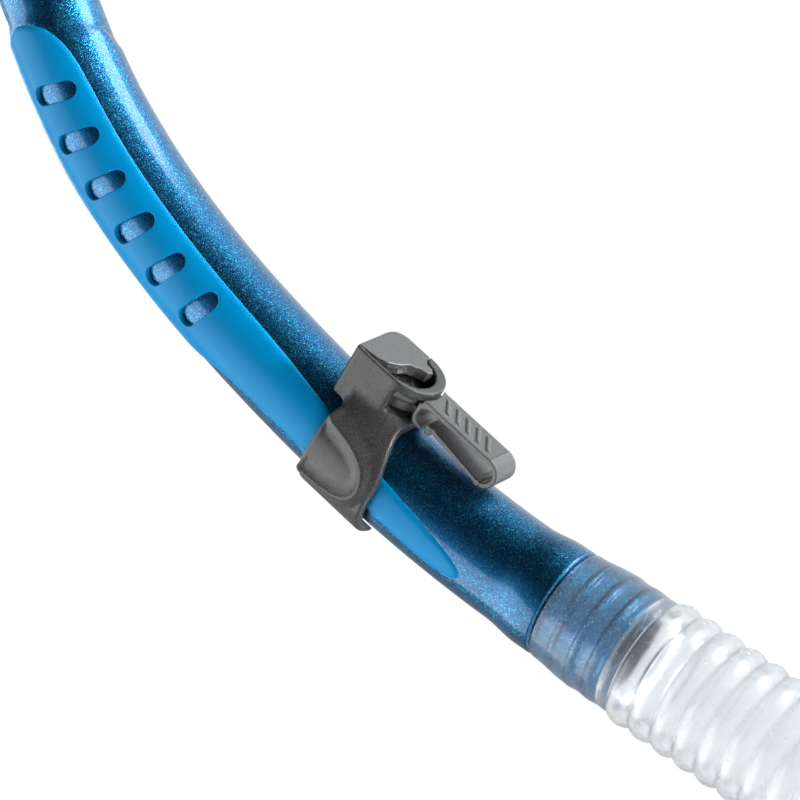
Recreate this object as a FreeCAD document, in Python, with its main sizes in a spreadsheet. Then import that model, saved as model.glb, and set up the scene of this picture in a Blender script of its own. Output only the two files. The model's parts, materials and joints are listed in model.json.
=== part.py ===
"""Dry snorkel: a curved barrel with an inlaid grip, a turning mask-strap clip with a sprung gate and a
release button, a corrugated hose with a purge mouthpiece, and a float-valve top.

The row's origin is the centre of the slot that the mask strap passes through. +Z runs up the barrel,
+X points to the wearer's head and +Y runs along the mask strap. Millimetres and degrees.
"""
import FreeCAD, Part
import os
import re
from math import cos, radians, sin

import Sketcher

Vector, Rotation, Placement = FreeCAD.Vector, FreeCAD.Rotation, FreeCAD.Placement
X_AXIS, Y_AXIS, Z_AXIS = Vector(1, 0, 0), Vector(0, 1, 0), Vector(0, 0, 1)

SIZES = {
    # Barrel. Its centreline lies in one plane: a short straight foot, four arcs, then a straight neck.
    "barrel_r": 12.2,
    "bore_r": 9.2,
    "foot_len": 3.45,
    "arc_one_r": 320, "arc_one_turn": 9.5, "arc_two_r": 455, "arc_two_turn": 6,
    "arc_three_r": 239, "arc_three_turn": 9, "arc_four_r": 142, "arc_four_turn": 14.5,
    "head_len": 8.5, "taper_len": 2.5,
    "neck_r": 11.1, "neck_len": 44,
    "collar_r": 13.1, "collar_flat": 4, "collar_len": 15,
    "spigot_r": 10.5, "spigot_len": 18.5,
    "spigot_rib_r": 10.9, "spigot_rib_w": 1.2, "spigot_rib_pitch": 5,
    # Grip inlay.
    "inlay_proud": 0.3, "inlay_depth": 0.9,
    "slot_len": 11.5, "slot_w": 4.4, "slot_slant": 14,
    "slot_count": 6, "slot_first": 50, "slot_pitch": 12.2,
    # Strap clip: a C-shaped band with a D-shaped receiver on its head side.
    "clip_turn_rest": -7,
    "band_bore_r": 13, "band_r": 15, "band_low": -10, "band_high": 9.2,
    "mouth_from": 130, "mouth_to": 188,
    "lip_r": 17.2, "lip_w": 1.8,
    "pad_r": 7.6, "pad_out": 15.9, "pad_dish_r": 20, "pad_dish_depth": 0.9,
    "swivel_y": 0.5, "swivel_z": 2.6,
    "receiver_root": 8, "receiver_face": 23.9,
    "receiver_r": 8.2, "receiver_top": 14, "receiver_corner_r": 1.5,
    "rim_w": 1.7, "recess_floor": 19.8,
    "cavity_r": 6, "cavity_from": 15.8, "cavity_to": 18.8,
    "throat_to": 21.5, "throat_top": 0.5,
    "relief_from": 12, "relief_to": 17, "relief_half": 8, "relief_top": -5.4,
    "pin_r": 1.6, "pin_gap": 0.03, "pin_from": 13.4,
    # Release button.
    "button_in": 21.8, "button_out": 23.7, "button_top": 12, "button_right": 6.5,
    # Strap loop and its gate.
    "loop_w": 8, "leg_out": 22.4, "leg_in": 21, "loop_top": -4.2,
    "gate_top": -8.2, "gate_t": 1.1, "catch_x": 15.8,
    "bend_x": 18.7, "bend_z": -25.3, "bend_r": 3.7, "bend_wall": 1.2,
    "disc_r": 5.6, "disc_from": 16.1, "disc_to": 18.5, "neck_half": 2.3,
    "rim_gap": 0.4,
    "knuckle_r": 0.75, "knuckle_gap": 0.06,
    # Corrugated hose.
    "cuff_len": 21.9, "cuff_r": 14.1, "cuff_lip_r": 13.2, "cuff_flare": 9, "cuff_bore_r": 10.95,
    "wave_pitch": 5.85, "wave_count": 12, "crest_r": 15.2, "root_r": 13.8, "wave_bore_r": 12.2,
    "wave_groove_r": 13.8,
    "low_cuff_len": 16, "seam_gap": 0.4,
    # Mouthpiece chamber, below the hose.
    "chamber_r": 15.5, "chamber_wall": 2, "chamber_len": 40, "chamber_spigot_r": 10.85,
    "chamber_spigot_len": 15, "port_z": -20, "port_major": 13, "port_minor": 9, "port_wall": 1.7,
    "port_end": 28, "spigot_chamfer": 0.6,
    # Silicone mouthpiece.
    "sleeve_from": 17, "sleeve_wall": 2.1, "sleeve_gap": 0.05, "neck_to": 44, "airway_major": 9.5,
    "airway_minor": 5.5, "shield_major": 31, "shield_minor": 16, "shield_t": 2.4,
    "bit_x": 15, "bit_half": 5, "bit_len": 15, "bit_t": 2.6, "bead_len": 3.5, "bead_t": 6.4,
    "tie_from": 20, "tie_w": 3.4, "tie_t": 1.3,
    "tie_head_half": 3, "tie_head_over": 0.6, "tie_head_rise": 4,
    # Purge valve.
    "seat_r": 9, "seat_t": 3, "seat_ring_w": 1.6, "hub_r": 2.4, "spoke_w": 1.4, "stem_r": 1,
    "stem_gap": 0.08, "flap_r": 8.4, "flap_t": 0.9, "flap_gap": 0.3, "bulb_r": 1.7, "bulb_t": 1.4,
    "purge_travel": 0.9, "guard_r": 13.6, "guard_wall": 1.5, "guard_depth": 7, "guard_hole_r": 1.9,
    "guard_ring_r": 7.5,
    # Float-valve top.
    "sleeve_len": 14, "sleeve_r": 13, "sleeve_fit": 0.05, "end_r": 10.3, "ring_r": 0.7, "ring_z": -8,
    "top_x": -9, "top_major": 25, "top_minor": 16, "plate_t": 3, "register_t": 1.5,
    "riser_r": 10.6, "seat_z": 24, "shell_t": 1.5, "cap_wall_top": 34, "dome_h": 11,
    "vent_w": 4, "vent_low": 6, "vent_high": 15, "vent_pitch": 8,
    "pivot_x": -13, "pivot_z": 27, "pivot_r": 1, "pivot_gap": 0.06, "ear_half": 5.8, "ear_w": 2,
    "valve_open": -22, "arm_half": 4.5, "arm_len": 22, "arm_t": 1.6, "boss_r": 2.3,
    "arm_low": -1.4, "seal_r": 10.2, "seal_t": 1.5,
    "tail_half": 3.5, "tail_t": 2.4, "peg_r": 1.2, "peg_x": 5,
    "float_in": -15.6, "float_out": -24.5, "float_half": 7, "float_low": 13, "float_high": 24.2,
    # A cutter this long passes right through any part.
    "through": 60,
}

doc = FreeCAD.newDocument("snorkel")
sheet = doc.addObject("Spreadsheet::Sheet", "Sizes")
for row, (alias, number) in enumerate(SIZES.items(), start=1):
    sheet.set("A%d" % row, alias)
    sheet.set("B%d" % row, str(number))
    sheet.setAlias("B%d" % row, alias)
doc.recompute()

nodes = []


# ---------------------------------------------------------------- sizes and expressions

def bound(text):
    """Expression in which every size's name points at its cell."""
    def with_cell(word):
        return "Sizes." + word[0] if word[0] in SIZES else word[0]

    return re.sub(r"[a-z][a-z_]*", with_cell, str(text))


def value(text):
    """Number that an expression of the sheet's sizes gives."""
    return float(sheet.evalExpression(bound(text)))


def bind(obj, **properties):
    for name, text in properties.items():
        obj.setExpression(name, bound(text))


# ---------------------------------------------------------------- primitives, placed by expressions

def put(obj, x=0, y=0, z=0, axis=Z_AXIS, angle=0):
    obj.Placement = Placement(Vector(value(x), value(y), value(z)), Rotation(axis, angle))
    for name, text in (("x", x), ("y", y), ("z", z)):
        obj.setExpression("Placement.Base." + name, bound(text))
    return obj


def box(label, x, y, z, axis=Z_AXIS, angle=0):
    """Box between (low, high) pairs of expressions along X, Y and Z."""
    obj = doc.addObject("Part::Box", label)
    bind(obj, Length="(%s) - (%s)" % (x[1], x[0]), Width="(%s) - (%s)" % (y[1], y[0]),
         Height="(%s) - (%s)" % (z[1], z[0]))
    return put(obj, x[0], y[0], z[0], axis, angle)


def cylinder(label, radius, length, x=0, y=0, z=0, along="Z"):
    """Cylinder that starts at (x, y, z) and runs the positive way along one axis."""
    obj = doc.addObject("Part::Cylinder", label)
    bind(obj, Radius=radius, Height=length)
    axis, angle = {"X": (Y_AXIS, 90), "Y": (X_AXIS, -90), "Z": (Z_AXIS, 0)}[along]
    return put(obj, x, y, z, axis, angle)


def oval(label, major, minor, low, high, x=0, z=0, along="Z"):
    """Elliptical prism, its major axis along X, from low to high along Z or Y."""
    ellipse = doc.addObject("Part::Ellipse", label + "_outline")
    bind(ellipse, MajorRadius=major, MinorRadius=minor)
    prism = doc.addObject("Part::Extrusion", label)
    prism.Base = ellipse
    prism.DirMode = "Custom"
    prism.Solid = True
    bind(prism, LengthFwd="(%s) - (%s)" % (high, low))
    if along == "Z":
        put(ellipse, x, 0, low)
        prism.Dir = Z_AXIS
    else:
        put(ellipse, x, low, z, X_AXIS, 90)
        prism.Dir = Y_AXIS
    return prism


def cut(label, base, *tools):
    obj = doc.addObject("Part::Cut", label)
    obj.Base = base
    obj.Tool = tools[0] if len(tools) == 1 else fuse(label + "_tools", *tools)
    return obj


def fuse(label, *shapes):
    obj = doc.addObject("Part::MultiFuse", label)
    obj.Shapes = list(shapes)
    obj.Refine = True
    return obj


def common(label, base, tool):
    obj = doc.addObject("Part::Common", label)
    obj.Base = base
    obj.Tool = tool
    return obj


# ---------------------------------------------------------------- sketches and bodies

def new_body(label):
    return doc.addObject("PartDesign::Body", label)


def body_sketch(body, role, name):
    sketch = body.newObject("Sketcher::SketchObject", name)
    plane = next(item for item in body.Origin.OriginFeatures if item.Role == role)
    sketch.AttachmentSupport = [(plane, "")]
    sketch.MapMode = "FlatFace"
    return sketch


def outline(sketch, corners):
    """Closed outline of straight lines through corners given as pairs of expressions."""
    points = [Vector(value(x), value(y), 0) for x, y in corners]
    for start, end in zip(points, points[1:] + points[:1]):
        sketch.addGeometry(Part.LineSegment(start, end))
    for index in range(len(points)):
        sketch.addConstraint(Sketcher.Constraint("Coincident", index, 2, (index + 1) % len(points), 1))
    for index, (x, y) in enumerate(corners):
        for kind, text in (("DistanceX", x), ("DistanceY", y)):
            rule = sketch.addConstraint(Sketcher.Constraint(kind, -1, 1, index, 1, value(text)))
            sketch.setExpression("Constraints[%d]" % rule, bound(text))
    return sketch


def circle(sketch, radius):
    sketch.addGeometry(Part.Circle(Vector(0, 0, 0), Z_AXIS, value(radius)))
    sketch.addConstraint(Sketcher.Constraint("Coincident", 0, 3, -1, 1))
    rule = sketch.addConstraint(Sketcher.Constraint("Radius", 0, value(radius)))
    sketch.setExpression("Constraints[%d]" % rule, bound(radius))
    return sketch


def turned(body, corners, cutting=False):
    """Ring about the body's Z axis, from a half section of (radius, height) corners."""
    section = outline(body_sketch(body, "XZ_Plane", "Section"), corners)
    ring = body.newObject("PartDesign::Groove" if cutting else "PartDesign::Revolution", "Ring")
    ring.Profile = section
    ring.ReferenceAxis = (section, ["V_Axis"])
    ring.Angle = 360
    return ring


def repeated(body, feature, axis_sketch, spacing, count):
    """Copies of a feature up the body's Z axis."""
    doc.recompute()
    pattern = body.newObject("PartDesign::LinearPattern", "Copies")
    pattern.Originals = [feature]
    pattern.Direction = (axis_sketch, ["V_Axis"])
    bind(pattern, Length="(%s) * ((%s) - 1)" % (spacing, count), Occurrences=count)
    body.Tip = pattern
    return pattern


def free_sketch(label, axis=None, angle=0):
    sketch = doc.addObject("Sketcher::SketchObject", label)
    if axis is not None:
        sketch.Placement = Placement(Vector(), Rotation(axis, angle))
    return sketch


def extruded(label, sketch, direction, start, end):
    """Solid swept by a sketch from start to end along a direction."""
    prism = doc.addObject("Part::Extrusion", label)
    prism.Base = sketch
    prism.DirMode = "Custom"
    prism.Dir = direction
    prism.Solid = True
    bind(prism, LengthFwd=end, LengthRev="-(%s)" % start)
    return prism


# ---------------------------------------------------------------- nodes

def node(label, obj, frame):
    """Names a finished sub-part and sets it in its place in the row."""
    obj.Label = label
    for coordinate in "xyz":
        obj.setExpression("Placement.Base." + coordinate, None)
    obj.Placement = frame
    nodes.append(obj)
    return obj


def frame_at(parent, x=0, y=0, z=0, axis=Z_AXIS, angle=0):
    return parent.multiply(Placement(Vector(value(x), value(y), value(z)), Rotation(axis, angle)))


# ---------------------------------------------------------------- barrel centreline

def centreline():
    """Segments of the barrel's line from its foot up: (length or radius, turn), turn 0 for a straight."""
    arcs = ("arc_one", "arc_two", "arc_three", "arc_four")
    return [(value("foot_len"), 0)] + [(value(arc + "_r"), value(arc + "_turn")) for arc in arcs]


def along(distance, offset=0):
    """Point at a distance up the barrel's line, offset to its head side, and the line's turn there."""
    x, z, turn, left = 0.0, 0.0, 0.0, distance
    for size, bend in centreline() + [(distance, 0)]:
        length = size if bend == 0 else size * radians(bend)
        step = min(left, length)
        if bend == 0:
            x += step * sin(radians(turn))
            z += step * cos(radians(turn))
        else:
            end = turn + bend * step / length
            x += size * (cos(radians(turn)) - cos(radians(end)))
            z += size * (sin(radians(end)) - sin(radians(turn)))
            turn = end
        left -= step
        if left <= 0:
            break
    normal = Vector(cos(radians(turn)), 0, -sin(radians(turn)))
    return Vector(x, 0, z) + normal * offset, turn


def arc_sketch(sketch, before, after):
    """Barrel's line, from a straight of length before below its foot to one of length after at its head."""
    segments = centreline()
    segments[0] = (segments[0][0] + before, 0)
    x, z, turn = 0.0, -before, 0.0
    for size, bend in segments + [(after, 0)]:
        heading = Vector(sin(radians(turn)), cos(radians(turn)), 0)
        start = Vector(x, z, 0)
        if bend == 0:
            end = start + heading * size
            sketch.addGeometry(Part.LineSegment(start, end))
        else:
            centre = start + Vector(heading.y, -heading.x, 0) * size
            half, full = radians(180 - turn - bend / 2), radians(180 - turn - bend)
            middle = centre + Vector(cos(half), sin(half), 0) * size
            end = centre + Vector(cos(full), sin(full), 0) * size
            sketch.addGeometry(Part.Arc(start, middle, end))
            turn += bend
        x, z = end.x, end.y
    return sketch


def pipe(body, name, radius, before, after, cutting=False):
    """Round tube or bore along the barrel's line."""
    path = arc_sketch(body_sketch(body, "XZ_Plane", name + "_path"), before, after)
    section = body_sketch(body, "XY_Plane", name + "_section")
    section.AttachmentOffset = Placement(Vector(0, 0, -before), Rotation())
    circle(section, radius)
    tube = body.newObject("PartDesign::SubtractivePipe" if cutting else "PartDesign::AdditivePipe", name)
    tube.Profile = section
    tube.Spine = (path, [])
    return tube


LINE_LENGTH = sum(size if bend == 0 else size * radians(bend) for size, bend in centreline())
TO_CLIP = value("foot_len") + value("arc_one_r") * radians(value("arc_one_turn"))
FOOT_TILT = -value("arc_one_turn")
HEAD_TILT = value("arc_two_turn + arc_three_turn + arc_four_turn")
clip_on_line = Placement(Vector(), Rotation(Y_AXIS, FOOT_TILT)).multVec(along(TO_CLIP)[0])

# The strap slot's centre, seen from the barrel's line at the clip, is the row's origin.
slot_in_clip = Vector(value("(leg_in + bend_x) / 2"), value("swivel_y"), value("(bend_z + gate_top) / 2"))
barrel_at_clip = Placement(-Rotation(Z_AXIS, value("clip_turn_rest")).multVec(slot_in_clip), Rotation())
foot = barrel_at_clip.multiply(Placement(-clip_on_line, Rotation(Y_AXIS, FOOT_TILT)))
clip = frame_at(barrel_at_clip, angle=value("clip_turn_rest"))
head_point = along(LINE_LENGTH + value("head_len + taper_len + neck_len"))[0]
top = foot.multiply(Placement(head_point, Rotation(Y_AXIS, HEAD_TILT - FOOT_TILT)))
mouth = frame_at(foot, z="-(cuff_len + wave_pitch * wave_count + low_cuff_len)")


# ---------------------------------------------------------------- barrel and grip inlay

def inlay_blank():
    """Curved strip of the barrel's wall on its near side, from the clip's foot to the barrel's head."""
    outside, inside = new_body("InlayOutside"), new_body("InlayInside")
    pipe(outside, "Outside", "barrel_r + inlay_proud", 0, value("head_len"))
    pipe(inside, "Inside", "barrel_r - inlay_depth", 0, value("head_len"))
    # (distance above the clip, offset to the head side): top end, head-side edge, tip, back edge, and a
    # last corner well outside the barrel, so that the strip wraps round the barrel's back there.
    edge = [(124.5, -16), (128.2, -9), (129, -3), (127.6, 1.5), (124.6, 5), (118.5, 7.6), (108, 8.5),
            (85, 8.5), (60, 8.4), (33, 8), (15, 6.4), (-9, 3.6), (-32, 0), (-36.5, -3.5), (-33, -7.4),
            (-20, -6.3), (-8, -5.3), (11, -5.9), (33, -6.8), (43, -9.2), (52, -16), (86, -30)]
    spots = [along(TO_CLIP + distance, offset)[0] for distance, offset in edge]
    points = [Vector(spot.x, spot.z, 0) for spot in spots]
    sketch = free_sketch("InlayOutline", X_AXIS, 90)
    for start, end in zip(points, points[1:] + points[:1]):
        sketch.addGeometry(Part.LineSegment(start, end))
    prism = extruded("InlayPrism", sketch, -Y_AXIS, 1, "barrel_r + 5")
    # Booleans of the document's own kind lose this thin strip, so its shape is worked out directly.
    doc.recompute()
    strip = doc.addObject("Part::Feature", "InlayBlank")
    strip.Shape = outside.Shape.cut(inside.Shape).common(prism.Shape)
    return strip


def slot_cutters():
    """Row of slanted round-ended slots across the inlay."""
    sketch = free_sketch("SlotOutlines", X_AXIS, 90)
    half, radius = value("(slot_len - slot_w) / 2"), value("slot_w / 2")
    for index in range(int(value("slot_count"))):
        spot, turn = along(TO_CLIP + value("slot_first + slot_pitch * %d" % index))
        lean = radians(turn + value("slot_slant"))
        middle = Vector(spot.x, spot.z, 0)
        across = Vector(cos(lean), -sin(lean), 0)
        up = Vector(sin(lean), cos(lean), 0)
        head, tail = middle + across * half, middle - across * half
        sketch.addGeometry(Part.LineSegment(tail + up * radius, head + up * radius))
        sketch.addGeometry(Part.Arc(head + up * radius, head + across * radius, head - up * radius))
        sketch.addGeometry(Part.LineSegment(head - up * radius, tail - up * radius))
        sketch.addGeometry(Part.Arc(tail - up * radius, tail - across * radius, tail + up * radius))
    return extruded("SlotCutters", sketch, -Y_AXIS, 2, "barrel_r + 5")


def barrel_solid(recess):
    tube = new_body("BarrelTube")
    pipe(tube, "Wall", "barrel_r", 0, value("head_len"))
    turned(tube, [(0, 0), ("collar_r - 0.6", 0), ("collar_r", 0.8), ("collar_r", "collar_flat"),
                  ("barrel_r - 0.6", "collar_len"), (0, "collar_len")])
    turned(tube, [(0, 1), ("spigot_r", 1), ("spigot_r", "1 - spigot_len"), ("spigot_r - 1", "-spigot_len"),
                  (0, "-spigot_len")])
    rib = turned(tube, [("spigot_r - 0.5", "2 - spigot_len"), ("spigot_rib_r", "2.5 - spigot_len"),
                        ("spigot_rib_r", "2.5 - spigot_len + spigot_rib_w"),
                        ("spigot_r - 0.5", "3 - spigot_len + spigot_rib_w")])
    repeated(tube, rib, rib.Profile[0], "spigot_rib_pitch", 3)
    neck = new_body("BarrelNeck")
    turned(neck, [(0, "-1 - taper_len - neck_len"), ("barrel_r", "-1 - taper_len - neck_len"),
                  ("barrel_r", "-taper_len - neck_len"), ("neck_r", "-neck_len"), ("neck_r", "-sleeve_len"),
                  ("end_r", "-sleeve_len"), ("end_r", 0), (0, 0)])
    neck.Placement = foot.inverse().multiply(top)
    bore = new_body("BarrelBore")
    pipe(bore, "Air", "bore_r", value("spigot_len + 2"), value("head_len + taper_len + neck_len + 2"))
    return cut("Barrel", fuse("BarrelSolid", tube, neck), bore, recess)


blank = inlay_blank()
node("barrel", barrel_solid(blank), foot)
node("grip_inlay", cut("Inlay", blank, slot_cutters()), foot)


# ---------------------------------------------------------------- strap clip

def receiver_prism(label, inset, low, high):
    """D-shaped prism of the receiver, drawn in by inset, from low to high out from the barrel."""
    sketch = free_sketch(label + "Outline", Vector(1, 1, 1), 120)
    y, z = value("swivel_y"), value("swivel_z")
    radius = value("receiver_r") - value(inset)
    ceiling = value("receiver_top") - value(inset)
    corner = max(value("receiver_corner_r") - value(inset), 0.3)
    slant = corner * (1 - cos(radians(45)))
    left, right = y - radius, y + radius
    # Three arcs round the D, the bow and the two corners, each given by its start, middle and end.
    spots = [Vector(*spot, 0) for spot in (
        (left, z), (y, z - radius), (right, z),
        (right, ceiling - corner), (right - slant, ceiling - slant), (right - corner, ceiling),
        (left + corner, ceiling), (left + slant, ceiling - slant), (left, ceiling - corner))]
    for first in (0, 3, 6):
        start, middle, end = spots[first:first + 3]
        sketch.addGeometry(Part.Arc(start, middle, end))
        sketch.addGeometry(Part.LineSegment(end, spots[(first + 3) % len(spots)]))
    return extruded(label, sketch, X_AXIS, low, high)


def clip_solid():
    """C-shaped band, its D-shaped receiver, the thumb pad and the flared lip of its free end."""
    band = cylinder("Band", "band_r", "band_high - band_low", z="band_low")
    receiver = receiver_prism("Receiver", 0, "receiver_root", "receiver_face")
    pad = cylinder("Pad", "pad_r", "pad_out - receiver_root", y="-pad_out", along="Y")
    dish = doc.addObject("Part::Sphere", "Dish")
    bind(dish, Radius="pad_dish_r")
    put(dish, y="-(pad_out - pad_dish_depth + pad_dish_r)")
    lip = box("Lip", ("-lip_r", -12), ("-2 - lip_w", -2), ("band_low", "band_high"))
    body = fuse("ClipBlank", band, receiver, cut("DishedPad", pad, dish), lip)

    bore = cylinder("BandBore", "band_bore_r", "through", z="-through / 2")
    sides = [("2 * band_r * cos(%s * 1 deg)" % turn, "2 * band_r * sin(%s * 1 deg)" % turn)
             for turn in ("mouth_from", "mouth_to")]
    wedge_sketch = outline(free_sketch("MouthOutline"), [(0, 0)] + sides)
    mouth_gap = extruded("MouthGap", wedge_sketch, Z_AXIS, "-through / 2", "through / 2")
    recess = receiver_prism("ButtonRecess", "rim_w", "recess_floor", "receiver_face + 1")
    swivel = {"y": "swivel_y", "z": "swivel_z", "along": "X"}
    cavity = cylinder("SwivelCavity", "cavity_r", "cavity_to - cavity_from", "cavity_from", **swivel)
    throat = box("Throat", ("cavity_from", "throat_to"), ("-band_r", "band_r"),
                 ("band_low - 1", "throat_top"))
    relief = box("GateRelief", ("relief_from", "relief_to"),
                 ("swivel_y - relief_half", "swivel_y + relief_half"), ("band_low - 1", "relief_top"))
    pin_hole = cylinder("PinHole", "pin_r + pin_gap", "receiver_root", "pin_from - 1", **swivel)
    return cut("Clip", body, bore, mouth_gap, recess, cavity, throat, relief, pin_hole)


def button_solid():
    """Tongue that fills the receiver's face but for a crescent-shaped gap on its near side."""
    sketch = outline(free_sketch("ButtonOutline", Vector(1, 1, 1), 120), [
        (-4.6, "button_top"), ("button_right", "button_top"), ("button_right", 1.6), (4.9, -0.3),
        (3.4, 0.1), (1.6, 2.8), (-0.5, 3.6), (-3.9, 6)])
    return extruded("Button", sketch, X_AXIS, "button_in", "button_out")


node("clip_body", clip_solid(), clip)
node("swivel_pin", cylinder("SwivelPin", "pin_r", "recess_floor - pin_from"),
     frame_at(clip, "pin_from", "swivel_y", "swivel_z", Y_AXIS, 90))
node("release_button", button_solid(), clip)


# ---------------------------------------------------------------- strap loop and gate

def side_prism(label, corners, half_width):
    """Solid of an outline in the clip's XZ plane, spread to both sides of the swivel."""
    sketch = outline(free_sketch(label + "Outline", X_AXIS, 90), corners)
    return extruded(label, sketch, Y_AXIS, "swivel_y - (%s)" % half_width, "swivel_y + (%s)" % half_width)


def loop_bend():
    """Round end of the loop, the lower half of a ring about an axis along Y, with the gate's seat."""
    across = {"y": "swivel_y - loop_w / 2", "z": "bend_z", "along": "Y"}
    outer = cylinder("BendOutside", "bend_r", "loop_w", "bend_x", **across)
    inner = cylinder("BendInside", "bend_r - bend_wall", "loop_w", "bend_x", **across)
    upper = box("BendUpper", ("bend_x - 2 * bend_r", "bend_x + 2 * bend_r"), ("-loop_w", "loop_w"),
                ("bend_z", "bend_z + 2 * bend_r"))
    seat = cylinder("GateSeat", "knuckle_r + knuckle_gap", "loop_w", "bend_x - bend_r + bend_wall / 2",
                    **across)
    return cut("LoopBend", outer, inner, upper, seat)


def loop_solid():
    """Outer leg with its hooked end, the round bend, and the neck and disc that it swivels on."""
    leg = side_prism("LoopLeg", [
        ("leg_out", "loop_top"), ("leg_out", "bend_z"), ("leg_out - bend_wall", "bend_z"), ("leg_in", -7),
        (20, -5.5), (18.1, -5.2), (17.2, -5.7), (16.7, -6.7), (16.6, -7.6), (15.5, -7.6), (15.5, -6.4),
        (16.3, -5.1), (17.4, "loop_top + 0.2"), (20.1, "loop_top")], "loop_w / 2")
    neck = side_prism("LoopNeck", [("disc_from", 0), ("disc_from", "loop_top - 0.8"),
                                   ("disc_to", "loop_top - 0.8"), ("disc_to", 0)], "neck_half")
    swivel = {"y": "swivel_y", "z": "swivel_z", "along": "X"}
    disc = cylinder("SwivelDisc", "disc_r", "disc_to - disc_from", "disc_from", **swivel)
    rim_sweep = cylinder("RimSweep", "receiver_r + rim_gap", "bend_r", "throat_to - rim_gap", **swivel)
    pin_hole = cylinder("DiscHole", "pin_r + 2 * pin_gap", "bend_r", "disc_from - 1", **swivel)
    return cut("Loop", fuse("LoopBlank", leg, loop_bend(), neck, disc), rim_sweep, pin_hole)


def gate_solid():
    """Thin inner leg that springs open, with its knuckle below and its toothed catch above."""
    pivot_x = "bend_x - bend_r + bend_wall / 2"
    leg = side_prism("GateLeg", [
        (pivot_x + " - gate_t / 2", "bend_z"), (16.9, "gate_top - 2.3"), ("catch_x", "gate_top - 1.8"),
        ("catch_x", "gate_top - 0.5"), (17.4, "gate_top + 0.2"), (18.2, "gate_top - 0.5"),
        (17.9, "gate_top - 1.3"), (18.5, "gate_top - 2"), (18.1, "gate_top - 3"),
        (pivot_x + " + gate_t / 2", "bend_z")], "loop_w / 2")
    knuckle = cylinder("Knuckle", "knuckle_r", "loop_w", pivot_x, "swivel_y - loop_w / 2", "bend_z",
                       along="Y")
    return fuse("Gate", leg, knuckle)


node("strap_loop", loop_solid(), clip)
node("strap_gate", gate_solid(), clip)


# ---------------------------------------------------------------- corrugated hose

def hose_solid():
    """Silicone hose: a cuff at each end and a row of round crests between them, hollow throughout."""
    low_end = "-cuff_len - wave_pitch * wave_count"
    end = low_end + " - low_cuff_len"
    next_wave = low_end + " + wave_pitch"
    body = new_body("Hose")
    turned(body, [
        ("cuff_bore_r", "-seam_gap"), ("cuff_lip_r", "-seam_gap"), ("cuff_r", "-cuff_flare"),
        ("cuff_r", "-cuff_len"), ("root_r", "-cuff_len"), ("root_r", low_end), ("cuff_r", low_end),
        ("cuff_r", end), ("cuff_bore_r", end), ("cuff_bore_r", low_end), ("wave_bore_r", low_end),
        ("wave_bore_r", "-cuff_len"), ("cuff_bore_r", "-cuff_len")])
    crest = turned(body, [
        ("root_r - 0.3", low_end + " + 0.5"), ("crest_r - 0.5", low_end + " + 1"),
        ("crest_r", low_end + " + 2"), ("crest_r", next_wave + " - 2"),
        ("crest_r - 0.5", next_wave + " - 1"), ("root_r - 0.3", next_wave + " - 0.5")])
    repeated(body, crest, crest.Profile[0], "wave_pitch", "wave_count")
    groove = turned(body, [
        ("wave_bore_r - 0.3", low_end + " + 1.2"), ("wave_groove_r", low_end + " + 2.2"),
        ("wave_groove_r", next_wave + " - 2.2"), ("wave_bore_r - 0.3", next_wave + " - 1.2")],
        cutting=True)
    repeated(body, groove, groove.Profile[0], "wave_pitch", "wave_count")
    return body


node("flex_hose", hose_solid(), foot)


# ---------------------------------------------------------------- mouthpiece chamber and mouthpiece

def chamber_solid():
    """Rigid chamber: a spigot for the hose, an oval port for the mouthpiece and a hole for the valve."""
    shell = new_body("ChamberShell")
    turned(shell, [
        (0, "-chamber_len"), ("chamber_r - 1.2", "-chamber_len"), ("chamber_r", "1.2 - chamber_len"),
        ("chamber_r", -3.4), ("chamber_r - 3", "-seam_gap"), ("chamber_spigot_r", "-seam_gap"),
        ("chamber_spigot_r", "chamber_spigot_len - spigot_chamfer"),
        ("chamber_spigot_r - spigot_chamfer", "chamber_spigot_len"), (0, "chamber_spigot_len")])
    at_port = {"z": "port_z", "along": "Y"}
    port = oval("Port", "port_major", "port_minor", 0, "port_end", **at_port)
    hollow = cylinder("ChamberHollow", "chamber_r - chamber_wall", "chamber_len - seat_t - 4",
                      z="seat_t - chamber_len")
    bore = cylinder("ChamberBore", "bore_r", "chamber_spigot_len + 6", z=-5)
    port_bore = oval("PortBore", "port_major - port_wall", "port_minor - port_wall", 0, "port_end + 1",
                     **at_port)
    valve_hole = cylinder("ValveHole", "seat_r", "seat_t + 2", z="-1 - chamber_len")
    return cut("Chamber", fuse("ChamberBlank", shell, port), hollow, bore, port_bore, valve_hole)


def mouthpiece_solid():
    """Silicone mouthpiece: a sleeve over the port, a neck, a lip shield and two bite tabs."""
    at_port = {"z": "port_z", "along": "Y"}
    sleeve = oval("Sleeve", "port_major + sleeve_wall", "port_minor + sleeve_wall",
                  "sleeve_from", "port_end + 3", **at_port)
    neck = oval("MouthNeck", "port_major - 0.6", "port_minor - 0.6", "port_end", "neck_to", **at_port)
    shield = oval("Shield", "shield_major", "shield_minor", "neck_to - shield_t", "neck_to", **at_port)
    solids = [sleeve, neck, shield]
    for name, middle in (("Right", "bit_x"), ("Left", "-bit_x")):
        width = (middle + " - bit_half", middle + " + bit_half")
        solids.append(box(name + "Tab", width, ("neck_to - 1", "neck_to + bit_len"),
                          ("port_z - bit_t / 2", "port_z + bit_t / 2")))
        solids.append(box(name + "Bead", width, ("neck_to + bit_len - bead_len", "neck_to + bit_len"),
                          ("port_z - bead_t / 2", "port_z + bead_t / 2")))
    port_seat = oval("PortSeat", "port_major + sleeve_gap", "port_minor + sleeve_gap",
                     "sleeve_from - 1", "port_end + 0.1", **at_port)
    airway = oval("Airway", "airway_major", "airway_minor", "port_end - 1", "neck_to + 2", **at_port)
    return cut("Mouthpiece", fuse("MouthpieceBlank", *solids), port_seat, airway)


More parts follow.
